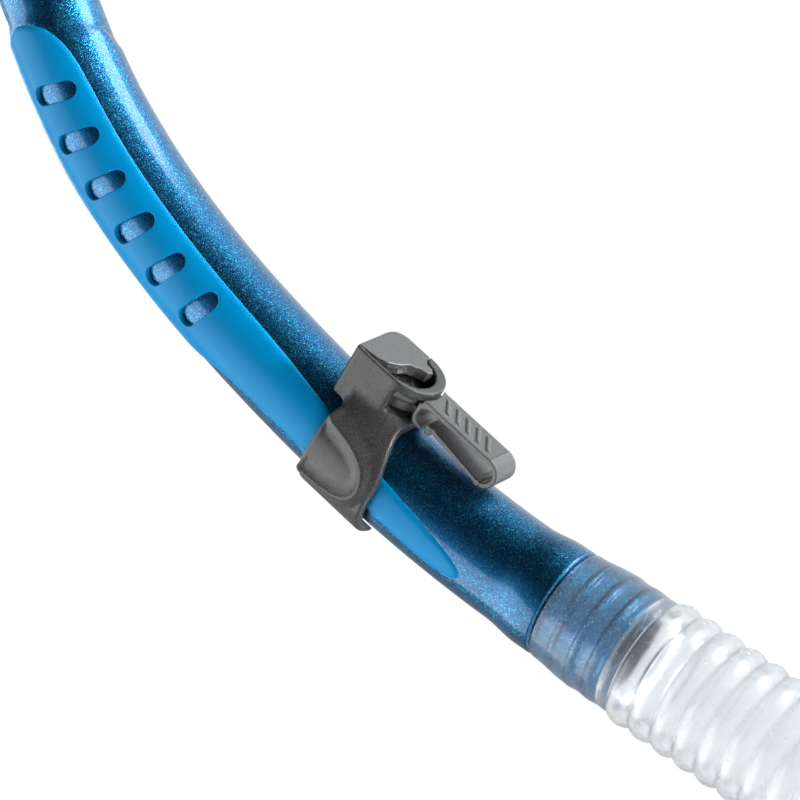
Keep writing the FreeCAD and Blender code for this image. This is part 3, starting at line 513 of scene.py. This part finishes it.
def inset(loop, amount):
    """Loop moved inwards along its normals."""
    along = np.roll(loop, -1, 0) - np.roll(loop, 1, 0)
    normal = np.stack([-along[:, 1], along[:, 0]], axis=1) / np.hypot(*along.T)[:, None]
    area = np.sum(loop[:, 0] * np.roll(loop[:, 1], -1) - loop[:, 1] * np.roll(loop[:, 0], -1))
    return loop + np.sign(area) * amount * normal


def slot_loop(index):
    """Round-ended slanted slot, as a loop in the unrolled surface."""
    lean = radians(SLOT_SLANT)
    middle = SLOT_FIRST + SLOT_PITCH * index
    half = (SLOT_LEN - SLOT_W) / 2
    loop = []
    for side in (1, -1):
        for turn in np.linspace(-pi / 2, pi / 2, 9):
            along = side * (half + SLOT_W / 2 * cos(turn))
            up = side * SLOT_W / 2 * sin(turn)
            loop.append((middle - along * sin(lean) + up * cos(lean), along * cos(lean) + up * sin(lean)))
    along, across = np.array(loop).T
    arc = -BARREL_R * np.arccos(np.clip(across / BARREL_R, -1, 1))
    return evenly(np.stack([along, arc], axis=1), SLOT_STEP)


def inlay_mesh(outline):
    """Flat triangles of the strip with six slots through it, and each point's height over the barrel."""
    slots = [slot_loop(index) for index in range(SLOT_COUNT)]
    rings = [outline] + slots + [inset(outline, depth) for depth in EDGE_DEPTHS]
    for depth in SLOT_DEPTHS:
        rings += [inset(slot, -depth) for slot in slots]
    along, arc = np.meshgrid(np.arange(-36, 129, 1.0), np.arange(-37, -8, 1.0), indexing="ij")
    filling = np.stack([along.ravel(), arc.ravel()], axis=1)
    keep = polygon(*filling.T, outline.tolist()) < -2.2
    for slot in slots:
        keep &= polygon(*filling.T, slot.tolist()) > 0.8
    points = np.vstack(rings + [filling[keep]])
    edges, start = [], 0
    for ring in rings[:1 + SLOT_COUNT]:
        count = len(ring)
        edges += [(start + i, start + (i + 1) % count) for i in range(count)]
        start += count
    result = delaunay_2d_cdt([Vector(p) for p in points.tolist()], edges, [], 1, 1e-5)
    points, triangles = np.array([tuple(p) for p in result[0]]), np.array(result[2])
    centres = points[triangles].mean(axis=1)
    keep = polygon(*centres.T, outline.tolist()) < 0
    for slot in slots:
        keep &= polygon(*centres.T, slot.tolist()) > 0
    used, triangles = np.unique(triangles[keep][:, ::-1], return_inverse=True)
    points, triangles = points[used], triangles.reshape(-1, 3)
    from_edge = np.clip(-polygon(*points.T, outline.tolist()) / EDGE_RUN, 0, 1)
    height = (EDGE_DROP + PROUD) * np.sqrt(1 - (1 - from_edge) ** 2) - EDGE_DROP
    for slot in slots:
        from_slot = np.clip(polygon(*points.T, slot.tolist()) / SLOT_EDGE, 0, 1)
        height = height - SLOT_DROP * (1 - np.sqrt(1 - (1 - from_slot) ** 2))
    return points, triangles, height


def boundary(triangles):
    """Edges that only one triangle has, in that triangle's order."""
    edges = np.concatenate([triangles[:, [0, 1]], triangles[:, [1, 2]], triangles[:, [2, 0]]])
    _, first, counts = np.unique(np.sort(edges, axis=1), axis=0, return_index=True, return_counts=True)
    return edges[first[counts == 1]]


def make_tube(outline):
    """Barrel with a recess for the strip, a little inside the strip's outline."""
    distance, angle, radii = barrel_points(160)
    flat_distance = np.broadcast_to(distance, radii.shape)
    arc = np.broadcast_to(angle * BARREL_R, radii.shape)
    outer = radii > BARREL_R - 0.6
    depth = -polygon(flat_distance[outer], arc[outer], outline.tolist())
    radii[outer] -= RECESS * smooth((depth - 0.7) / 0.5)
    tube = add_mesh("barrel_tube", on_tube(distance, angle, radii).reshape(-1, 3), ring_faces(*radii.shape),
                    BLUE_FLAKE)
    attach(tube, "barrel")
    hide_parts("barrel")


def make_strip(outline):
    """Thin shell over the barrel: a domed top, an underside and the walls between them."""
    points, triangles, height = inlay_mesh(outline)
    distance, angle = points[:, 0], points[:, 1] / BARREL_R
    base = barrel_radius(distance, angle)
    top = on_tube(distance, angle, base + height)
    under = on_tube(distance, angle, base + np.minimum(UNDERSIDE, height - 0.1))
    count = len(points)
    rim = boundary(triangles)
    walls = np.stack([rim[:, 1], rim[:, 0], rim[:, 0] + count, rim[:, 1] + count], axis=1)
    faces = triangles.tolist() + (triangles[:, ::-1] + count).tolist() + walls.tolist()
    strip = add_mesh("grip_strip", np.vstack([top, under]), faces, INLAY_BLUE, sharp=50)
    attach(strip, "barrel")
    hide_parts("grip_inlay")


def make_barrel():
    outline = evenly(smooth_loop(unrolled(OUTLINE)), OUTLINE_STEP)
    make_tube(outline)
    make_strip(outline)


# ---------------------------------------------------------------- strap clip

SWIVEL_Y, SWIVEL_Z = 0.5, 2.6
BAND_R, BAND_BORE, BAND_THINNED, PAD_RISE, PAD_DISH = 14.9, 13.0, 0.85, 1.0, 1.75
MOUTH_FROM, MOUTH_TO = 130, 187
RECEIVER_R, RECEIVER_TOP, RECEIVER_FACE = 8.2, 14, 23.9
WELL_Y, WELL_Z, WELL_R, WELL_FLOOR = -0.2, 3.3, 6.6, 19.6
DISC_R, DISC_FROM, DISC_TO = 5.6, 16.1, 18.5
DISC_GAP = 0.3
PRESS_SLOPE = 0.095
PAD_CORNERS = ((8.3, 9.6), (8.2, 6.9), (7.5, 1.9), (6.5, -1.8), (4.8, -4.9), (2.6, -6.4), (0.2, -6.9),
               (-2.3, -6.2), (-4.3, -4.6), (-5.8, -1.8), (-6.7, 1.7), (-7.1, 5.0), (-6.6, 9.6), (0, 12))
THUMB_PAD = smooth_loop(PAD_CORNERS, 4).tolist()


def receiver_outline(y, z, inset_by=0.0):
    """D shape: half a circle below, straight sides and small corners above."""
    radius = RECEIVER_R - inset_by
    sides = np.abs(y - SWIVEL_Y) - radius
    lower = np.hypot(y - SWIVEL_Y, np.minimum(z - SWIVEL_Z, 0)) - radius
    sides = np.where(z < SWIVEL_Z, lower, sides)
    corner = np.where(y > SWIVEL_Y, 4.5, 1.6)
    return -join(-sides, -(z - RECEIVER_TOP + inset_by), corner)


def recess_outline(y, z):
    """D-shaped well behind the tongue, a little to the near side of the swivel."""
    sides = np.abs(y - WELL_Y) - WELL_R
    return np.maximum(np.where(z < WELL_Z, disc(y, z, WELL_R, WELL_Y, WELL_Z), sides), z - 12.2)


TONGUE = ((-6.6, 15), (-6.3, 12.4), (-5.7, 9.2), (-4.2, 6.6), (-1.6, 4.7), (0.9, 3.9), (2.4, 2.2), (3.3, 0.1),
          (4.6, -0.5), (5.7, 0.6), (6.0, 2.3), (6.9, 3.2), (12, 4.4), (12, 15))


def tongue_outline(y, z):
    """Release tongue: flush with the receiver's top and far side, open in a crescent on the near side."""
    return np.maximum(polygon(y, z, TONGUE), receiver_outline(y, z, 0.05))


def band_shape(p):
    """Solid of the band before its bore is cut: raised thumb pad with a dish, and swept edges."""
    x, y, z = p
    radius, angle = np.hypot(x, y), np.degrees(np.arctan2(y, x))
    near = y < 0
    pad = polygon(x, z, THUMB_PAD)
    boss = near * PAD_RISE * smooth((2.6 - pad) / 2.6)
    floor = np.clip((-pad - 0.15) / 3.6, 0, 1)
    dish = near * PAD_DISH * (1 - (1 - floor) ** 1.7)
    outer = radius - BAND_R - boss + dish
    lower_edge = -10 + 5.2 * smooth((angle + 82) / 66) * (angle < 60)
    upper_edge = 9.2 - 1.2 * smooth((angle + 60) / 40) * (angle < 60)
    ends = np.maximum(lower_edge - z, z - upper_edge)
    return -join(-outer, -ends, 1.2)


def clip_shape(p):
    """Band and receiver, less the throat, the barrel's bore, the well, the tongue's seat and the mouth."""
    x, y, z = p
    receiver = capped(receiver_outline(y, z), x, 8, RECEIVER_FACE, 0.35)
    body = join(band_shape(p), receiver, 3.0)
    throat = block(p, (15.6, -12, -14), (21.5, 12, 0.7), 0.9)
    body = carve(body, throat, 0.8)
    web = capped(disc(y, z, 6.5, SWIVEL_Y, SWIVEL_Z), x, 18.9, 21.8)
    body = np.minimum(body, web)
    angle = np.degrees(np.arctan2(y, x)) % 360
    thinned = BAND_THINNED * smooth((232 - angle) / 24) * (angle > 180)
    body = carve(body, np.hypot(x, y) - BAND_BORE - thinned, 0.25)
    body = carve(body, capped(recess_outline(y, z), x, WELL_FLOOR, 26, 0.1), 0.3)
    press_room = PRESS_SLOPE * np.maximum(12 - z, 0)    # the tongue tips in by 5 degrees
    body = carve(body, capped(tongue_outline(y, z) - 0.12, x + press_room, 21.7, 28, 0.1), 0.2)
    disc_seat = disc(y, z, DISC_R + 0.4, SWIVEL_Y, SWIVEL_Z)
    body = carve(body, capped(disc_seat, x, DISC_FROM - DISC_GAP, DISC_TO + DISC_GAP))
    body = carve(body, block(p, (12, -7.5, -12), (17, 8.5, -5.4), 0.5), 0.5)
    into_mouth = np.radians(np.clip(np.minimum(angle - MOUTH_FROM, MOUTH_TO - angle), -90, 90))
    return carve(body, -np.hypot(x, y) * np.sin(into_mouth), 0.8)


def button_shape(p):
    """Tongue with a thick lower lip that follows a crescent gap."""
    x, y, z = p
    flat = tongue_outline(y, z)
    sheet = capped(flat, x, 22.0, 23.8, 0.3)
    well = np.maximum(recess_outline(y, z) + 0.25, polygon(y, z, TONGUE))
    lip = capped(np.maximum(well, -flat - 1.8), x, 20.95, 23.0, 0.3)
    return join(sheet, np.maximum(lip, z - 9), 0.4)


LEG = ((22.4, -4.4), (22.4, -25.3), (21.2, -25.3), (21.0, -7), (20, -5.5), (18.1, -5.2), (17.2, -5.7),
       (16.7, -6.7), (16.6, -7.6), (15.5, -7.6), (15.5, -6), (15.9, -4.7), (17.4, -4.2), (20.1, -4.2))
GATE = ((15.05, -25.3), (16.9, -10.5), (15.8, -10), (15.8, -8.7), (17.4, -8.2), (18.2, -8.7), (17.9, -9.5),
        (18.5, -10.2), (18.1, -11.2), (16.15, -25.3))
LOOP_LOW, LOOP_HIGH = SWIVEL_Y - 4, SWIVEL_Y + 4
BEND_X, BEND_Z, KNUCKLE_X = 18.7, -25.3, 15.6
BAR_COUNT, BAR_TOP, BAR_PITCH, BAR_SLANT = 5, -9.2, 3.1, 0.7


def loop_shape(p):
    """Flat outer leg with a hooked top, a thick round bend, raised bars, and the disc it swivels on."""
    x, y, z = p
    leg = capped(polygon(x, z, LEG), y, LOOP_LOW, LOOP_HIGH, 0.25)
    ring = np.maximum(disc(x, z, 3.7, BEND_X, BEND_Z), -disc(x, z, 2.5, BEND_X, BEND_Z))
    bend = capped(np.maximum(ring, z - BEND_Z), y, LOOP_LOW, LOOP_HIGH, 0.25)
    body = join(leg, bend, 0.4)
    for index in range(BAR_COUNT):
        slanted = z - (BAR_TOP - BAR_PITCH * index) - BAR_SLANT * (y - SWIVEL_Y)
        bar = np.maximum(np.abs(slanted) * 0.82 - 0.45, np.abs(y - SWIVEL_Y) - 2.1)
        body = join(body, capped(bar, x, 22.2, 22.7, 0.2), 0.25)
    neck = block(p, (DISC_FROM, SWIVEL_Y - 2.3, -5), (DISC_TO, SWIVEL_Y + 2.3, 0), 0.3)
    hub = capped(disc(y, z, DISC_R, SWIVEL_Y, SWIVEL_Z), x, DISC_FROM, DISC_TO, 0.2)
    body = join(body, join(neck, hub, 0.5), 0.8)
    body = carve(body, capped(disc(y, z, 8.6, SWIVEL_Y, SWIVEL_Z), x, 21.1, 26))
    return carve(body, disc(x, z, 0.81, KNUCKLE_X, BEND_Z))


def gate_shape(p):
    """Thin inner leg with a toothed top, and the round knuckle that it turns on."""
    x, y, z = p
    leg = capped(polygon(x, z, GATE), y, LOOP_LOW + 0.1, LOOP_HIGH - 0.1, 0.25)
    ridge = capped(disc(x, z, 0.45, 17.6, -9.8), y, LOOP_LOW + 0.1, LOOP_HIGH - 0.1, 0.2)
    knuckle = capped(disc(x, z, 0.75, KNUCKLE_X, BEND_Z), y, LOOP_LOW, LOOP_HIGH, 0.1)
    return join(join(leg, ridge, 0.3), knuckle, 0.3)


def make_clip():
    moulded("clip_shell", clip_shape, (-18, -17, -10.5), (24.2, 16, 14.4), 0.3, clip_frame,
            CLIP_GREY, "clip_grey", "clip", "clip_body")
    moulded("button_tongue", button_shape, (20.5, -7.4, -1.2), (24, 9.2, 14.2), 0.2, clip_frame,
            SMOOTH_GREY, "clip_grey", "button", "release_button")
    moulded("loop_frame", loop_shape, (15, -5.5, -29.3), (23, 6.5, 8.6), 0.2, clip_frame,
            SMOOTH_GREY, "clip_grey", "loop", "strap_loop")
    moulded("gate_spring", gate_shape, (14.4, -3.9, -26.3), (18.8, 4.9, -7.8), 0.16, clip_frame,
            SMOOTH_GREY, "clip_grey", "gate", "strap_gate")


# ---------------------------------------------------------------- corrugated hose

CUFF_END, WAVES_END, HOSE_END = -CUFF, -CUFF - WAVES * PITCH, -HOSE_LEN
LIP_R, CUFF_R, CREST_R, VALLEY_R = 13.2, 14.1, 15.2, 13.75
VALLEY_BORE, WAVE_DEPTH, LOW_BORE = 12.2, 1.6, 10.95
GRIP_R = 10.35
HOSE_COLUMNS = 112


def hose_profile():
    """(radius, height) loop down the outside and back up the inside."""
    flare = [(LIP_R + (CUFF_R - LIP_R) * smooth((-h - 1) / 9), h) for h in np.arange(-1, -11, -1.0)]
    cuff = [(GRIP_R, -0.4), (LIP_R - 0.5, -0.4), (LIP_R - 0.12, -0.55)] + flare
    cuff += [(CUFF_R + 0.12 * cos((h + 16.5) * 1.1), h) for h in np.arange(-11, -21, -0.7)]
    outside, inside = [], []
    for share in np.arange(0, WAVES, 1 / 18):
        swell = np.abs(sin(pi * share))
        height = CUFF_END - PITCH * share
        outside.append((VALLEY_R + (CREST_R - VALLEY_R) * swell ** 0.62, height))
        inside.append((VALLEY_BORE + WAVE_DEPTH * swell ** 0.8, height))
    low_cuff = [(CUFF_R, h) for h in np.arange(WAVES_END - 1.2, HOSE_END + 1.5, -1.0)]
    low_cuff += [(CUFF_R - 0.05, HOSE_END + 0.7), (CUFF_R - 0.3, HOSE_END + 0.15), (CUFF_R - 0.8, HOSE_END)]
    low_bore = [(LOW_BORE, h) for h in np.arange(HOSE_END, WAVES_END - 0.5, 2)]
    top_bore = [(11.2, CUFF_END + 0.8), (GRIP_R, FOOT_SPIGOT + 0.2)]
    top_bore += [(GRIP_R, h) for h in np.arange(FOOT_SPIGOT + 2, -1, 2)]
    outside.append((VALLEY_R, WAVES_END))
    return np.array(cuff + outside + low_cuff + low_bore + inside[::-1] + top_bore)


def make_hose():
    profile = hose_profile()
    angle = np.linspace(0, 2 * pi, HOSE_COLUMNS, endpoint=False)
    radius, height = profile[:, :1], np.repeat(profile[:, 1:], HOSE_COLUMNS, axis=1)
    local = np.stack([radius * np.cos(angle), radius * np.sin(angle), height], axis=-1).reshape(-1, 3)
    hose = add_mesh("hose_wall", foot_frame.to_row(local), ring_faces(len(profile), HOSE_COLUMNS),
                    CLEAR_SILICONE)
    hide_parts("flex_hose")
    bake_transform(hose)


# ---------------------------------------------------------------- mouthpiece end

PORT_Z, PORT_HALF, PORT_HIGH = -20, 13, 9
CHAMBER_R, CHAMBER_BORE, GUARD_R = 15.5, 13.5, 13.6
BITE_X = 15


def chamber_shape(p):
    """Rounded drum with an oval port, a spigot for the hose and an open floor for the valve."""
    x, y, z = p
    drum = capped(disc(x, y, CHAMBER_R), z, -40, -0.4, 2.6)
    band = capped(disc(x, y, CHAMBER_R + 0.4), z, -36.2, -33.4, 0.5)
    port = capped(ellipse(x, z - PORT_Z, PORT_HALF, PORT_HIGH), y, 0, 28, 0.6)
    flange = capped(ellipse(x, z - PORT_Z, PORT_HALF + 0.9, PORT_HIGH + 0.9), y, 14.6, 16.2, 0.5)
    spigot = capped(disc(x, y, 10.85), z, -4, 15, 0.6)
    body = join(join(drum, band, 0.8), join(port, flange, 0.6), 4.5)
    body = join(body, spigot, 1.0)
    body = carve(body, capped(disc(x, y, CHAMBER_BORE), z, -37, -4, 2))
    body = carve(body, disc(x, y, BORE_R) + np.maximum(-z - 8, 0))
    body = carve(body, capped(ellipse(x, z - PORT_Z, PORT_HALF - 1.7, PORT_HIGH - 1.7), y, 0, 40))
    return carve(body, capped(disc(x, y, 9), z, -44, -35))


def mouthpiece_shape(p):
    """Soft sleeve, neck, curved lip shield with a dip in its top edge, and two beaded bite tabs."""
    x, y, z = p
    z = z - PORT_Z
    back = y - x ** 2 / 130
    sleeve = capped(ellipse(x, z, 15.1, 11.1), y, 17, 31, 1.2)
    neck = capped(ellipse(x, z, 12.4, 8.4), y, 28, 44, 1)
    dip = 2.2 * np.exp(-(x / 7) ** 2) * (z > 0)
    shield = capped(ellipse(x, z + dip, 31, 16), back, 41.6, 44, 1.1)
    body = join(join(sleeve, neck, 3.5), shield, 3)
    for side in (1, -1):
        across = x - side * BITE_X
        tab = block((across, back, z), (-5, 43, -1.3), (5, 59, 1.3), 1.2)
        bead = capped(ellipse(back - 57, z, 2.0, 3.2), across, -5, 5, 1.2)
        body = join(body, join(tab, bead, 1.5), 2)
    body = carve(body, capped(ellipse(x, z, PORT_HALF + 0.05, PORT_HIGH + 0.05), y, 10, 28.1))
    return carve(body, capped(ellipse(x, z, 9.5, 5.5), y, 26, 60), 0.8)


def guard_shape(p):
    """Vented cup with a stepped rim."""
    x, y, z = p
    cup = capped(disc(x, y, GUARD_R), z, -47, -40, 1.6)
    rim = capped(disc(x, y, GUARD_R + 0.5), z, -41.6, -40, 0.5)
    cup = carve(join(cup, rim, 0.6), capped(disc(x, y, GUARD_R - 1.5), z, -45.5, -38))
    holes = [(0.0, 0.0)] + [(7.5 * cos(turn * pi / 3), 7.5 * sin(turn * pi / 3)) for turn in range(6)]
    for u, v in holes:
        cup = carve(cup, disc(x, y, 1.9, u, v) + np.maximum(z + 42, 0), 0.5)
    return cup


def make_mouth():
    moulded("chamber_shell", chamber_shape, (-16, -16, -40.2), (16, 28.2, 15.2), 0.42, mouth_frame,
            BLUE_FLAKE, "barrel_blue", "mouth", "mouth_chamber")
    moulded("mouth_bit", mouthpiece_shape, (-31.5, 16.8, -37), (31.5, 61.5, -3), 0.45, mouth_frame,
            MOUTH_SILICONE, "silicone_clear", "mouth", "mouthpiece")
    moulded("vent_cup", guard_shape, (-14.3, -14.3, -47.2), (14.3, 14.3, -39.8), 0.35, mouth_frame,
            CLIP_GREY, "clip_grey", "mouth", "purge_guard")


# ---------------------------------------------------------------- float-valve top

TOP_X, TOP_LONG, TOP_WIDE = -9, 25, 16
CAP_WALL, CROWN_FROM, CROWN_RISE = 1.5, 34, 11
PIN_X, PIN_Z = -13, 27


def collar_shape(p):
    """Sleeve flowing into an oval base plate, with the riser and the pivot ears above it."""
    x, y, z = p
    sleeve = capped(disc(x, y, 13), z, -14, 1.5, 0.8)
    ribs = 0.35 * smooth((np.cos(z * 2 * pi / 2.4) - 0.2) / 0.5) * (z < -3) * (z > -12.5)
    plate = capped(ellipse(x - TOP_X, y, TOP_LONG, TOP_WIDE), z, 0, 3, 0.7)
    body = join(sleeve - ribs, plate, 3.5)
    body = join(body, capped(ellipse(x - TOP_X, y, TOP_LONG - 1.6, TOP_WIDE - 1.6), z, 2, 4.5, 0.3))
    body = join(body, capped(disc(x, y, 10.6), z, 1, 24, 0.3), 1)
    for low, high in ((5.8, 7.8), (-7.8, -5.8)):
        foot = block(p, (-15, low, 10), (-7.5, high, 21), 0.2)
        ear = block(p, (-15, low, 20), (-11, high, 29), 0.6)
        body = join(body, join(foot, ear))
    body = carve(body, disc(x, y, BORE_R) + np.maximum(-z - 1, 0))
    body = carve(body, capped(disc(x, y, 10.35), z, -20, 0))
    return carve(body, disc(x, z, 1.03, PIN_X, PIN_Z))


def cap_shape(p):
    """Domed cover with a soft shoulder, a shallow waist line and upright round-ended vents."""
    x, y, z = p
    across = x - TOP_X

    def dome(by, low):
        """Outer form less a wall, from a height up to its crown."""
        long, wide, rise = TOP_LONG - by, TOP_WIDE - by, CROWN_RISE - by
        wall = capped(ellipse(across, y, long, wide), z, low, CROWN_FROM)
        crown = np.sqrt((across / long) ** 2 + (y / wide) ** 2 + ((z - CROWN_FROM) / rise) ** 2)
        return np.where(z > CROWN_FROM, np.maximum((crown - 1) * rise, CROWN_FROM - 1 - z), wall)

    body = np.maximum(dome(0, 3), 3.02 - z)
    waist = 0.5 * np.exp(-((z - 21 - 0.12 * across) / 0.7) ** 2)
    body = carve(body + waist, dome(CAP_WALL, 1))
    for offset in range(-16, 17, 8):
        vent = np.hypot(across - offset, np.maximum(np.abs(z - 10.5) - 2.5, 0)) - 2.0
        body = carve(body, vent, 0.5)
    return body


def make_top():
    moulded("collar_shell", collar_shape, (-34.2, -16.2, -14.2), (16.2, 16.2, 29.2), 0.42, top_frame,
            CLIP_GREY, "clip_grey", "barrel", "top_collar")
    moulded("cap_shell", cap_shape, (-34.2, -16.2, 2.8), (16.2, 16.2, 45.2), 0.42, top_frame,
            BLUE_FLAKE, "barrel_blue", "barrel", "top_cap")


# ---------------------------------------------------------------- CAD nodes that stay

KEPT_NODES = ((PIN_STEEL, ("swivel_pin", "valve_pin")), (SMOOTH_GREY, ("mouthpiece_tie", "purge_seat")),
              (SEAL_RUBBER, ("purge_flap", "collar_seal", "valve_seal")),
              (VALVE_WHITE, ("valve_arm", "valve_float")))


def finish_nodes():
    for material, names in KEPT_NODES:
        for name in names:
            for slot in frame["nodes"][name].material_slots:
                slot.material = material


# ---------------------------------------------------------------- studio

def area_light(name, place, target, size, height, power, colour=(1.0, 1.0, 1.0)):
    lamp = bpy.data.lights.new(name, "AREA")
    lamp.shape = "RECTANGLE"
    lamp.size, lamp.size_y = size, height
    lamp.energy = power
    lamp.color = colour
    holder = bpy.data.objects.new(name, lamp)
    holder.location = place
    holder.rotation_euler = (Vector(target) - Vector(place)).to_track_quat("-Z", "Y").to_euler()
    bpy.context.scene.collection.objects.link(holder)
    return holder


CAMERA_AT = Vector((0.3409, -0.6740, -0.2130))
RIGHT = Vector((0.50637, 0.50007, -0.70251))
UP = Vector((0.74401, 0.15849, 0.64910))
BACK = Vector((0.43593, -0.85136, -0.29180))


MIDDLE = Vector((-0.012, 0.0, 0.05))
FLOOR_Z = -0.42


def towards(right, up, back):
    """Direction in the row frame of one given as the camera sees it."""
    return RIGHT * right + UP * up + BACK * back


def seen(right, up, back):
    """Point at so many metres right of, above and nearer than the object's middle, as the camera sees it."""
    return MIDDLE + towards(right, up, back)


def make_camera():
    camera_data = bpy.data.cameras.new("camera")
    camera_data.sensor_width = 36
    camera_data.lens = 160.2
    camera = bpy.data.objects.new("camera", camera_data)
    turn = Matrix((RIGHT, UP, BACK)).transposed().to_4x4()
    camera.matrix_world = Matrix.Translation(CAMERA_AT) @ turn
    bpy.context.scene.collection.objects.link(camera)
    bpy.context.scene.camera = camera


def lobe(tree, way, direction, power, strength):
    """Soft patch of light round a direction of the world."""
    facing = vector_maths(tree, "DOT_PRODUCT", way, towards(*direction).normalized())
    sharpened = maths(tree, "POWER", maths(tree, "MAXIMUM", facing, 0.0), power)
    return maths(tree, "MULTIPLY", sharpened, strength)


LOBES = (((0.85, 0.45, -0.1), 5, 1.0), ((-0.95, -0.2, -0.1), 6, 0.5), ((0.5, 0.4, -0.8), 4, 0.9),
         ((-0.3, -0.3, -0.9), 2, 0.3))
ROOM_LIGHT = 0.012


def make_world():
    """White to the camera and through clear silicone, and a dark room with soft lobes to all else."""
    world = bpy.data.worlds.new("studio")
    bpy.context.scene.world = world
    world.use_nodes = True
    tree = world.node_tree
    paper = tree.nodes["Background"]
    paper.inputs["Color"].default_value = (1.0, 1.0, 1.0, 1.0)
    way = add_node(tree, "TexCoord").outputs["Generated"]
    light = ROOM_LIGHT
    for direction, power, strength in LOBES:
        light = maths(tree, "ADD", lobe(tree, way, direction, power, strength), light)
    room = add_node(tree, "Background", Color=(0.93, 0.96, 1.0, 1.0))
    tree.links.new(light, room.inputs["Strength"])
    path = tree.nodes.new("ShaderNodeLightPath").outputs
    seen_white = maths(tree, "MAXIMUM", path["Is Camera Ray"], path["Is Transmission Ray"])
    mix = tree.nodes.new("ShaderNodeMixShader")
    set_inputs(tree, mix, (seen_white, room.outputs[0], paper.outputs[0]))
    tree.links.new(mix.outputs[0], tree.nodes["World Output"].inputs["Surface"])


def make_lights():
    area_light("side_key", seen(0.82, 0.45, 0.16), MIDDLE, 0.5, 0.9, 12.5, (0.93, 1.0, 0.98))
    streak = area_light("streak", seen(0.55, 0.24, 0.28), (0.006, 0.0, 0.165), 0.1, 0.3, 0.1)
    streak.data.spread = radians(14)
    area_light("left_fill", seen(-1.5, -0.35, 0.05), MIDDLE, 1.8, 1.8, 29)
    area_light("low_right", seen(0.7, -0.55, 0.1), MIDDLE, 0.35, 0.35, 3.6)
    area_light("far_fill", seen(-0.4, 0.3, -0.8), MIDDLE, 0.6, 0.6, 5)


def make_floor():
    """Pale disc under the object, which glows a little so that it doesn't look dark beside the white."""
    bpy.ops.mesh.primitive_circle_add(vertices=128, radius=0.8, fill_type="NGON", location=(0, 0, FLOOR_Z))
    floor = bpy.context.object
    floor.name = "floor"
    material = new_material("pale_floor", Roughness=0.6, Base_Color=(0.9, 0.91, 0.92, 1.0),
                            Emission_Color=(1.0, 1.0, 1.0, 1.0), Emission_Strength=0.4)[0]
    floor.data.materials.append(material)


def make_studio():
    make_camera()
    make_world()
    make_lights()
    make_floor()
    bpy.context.scene.view_settings.view_transform = "Standard"


make_barrel()
make_clip()
make_hose()
make_mouth()
make_top()
finish_nodes()
make_studio()
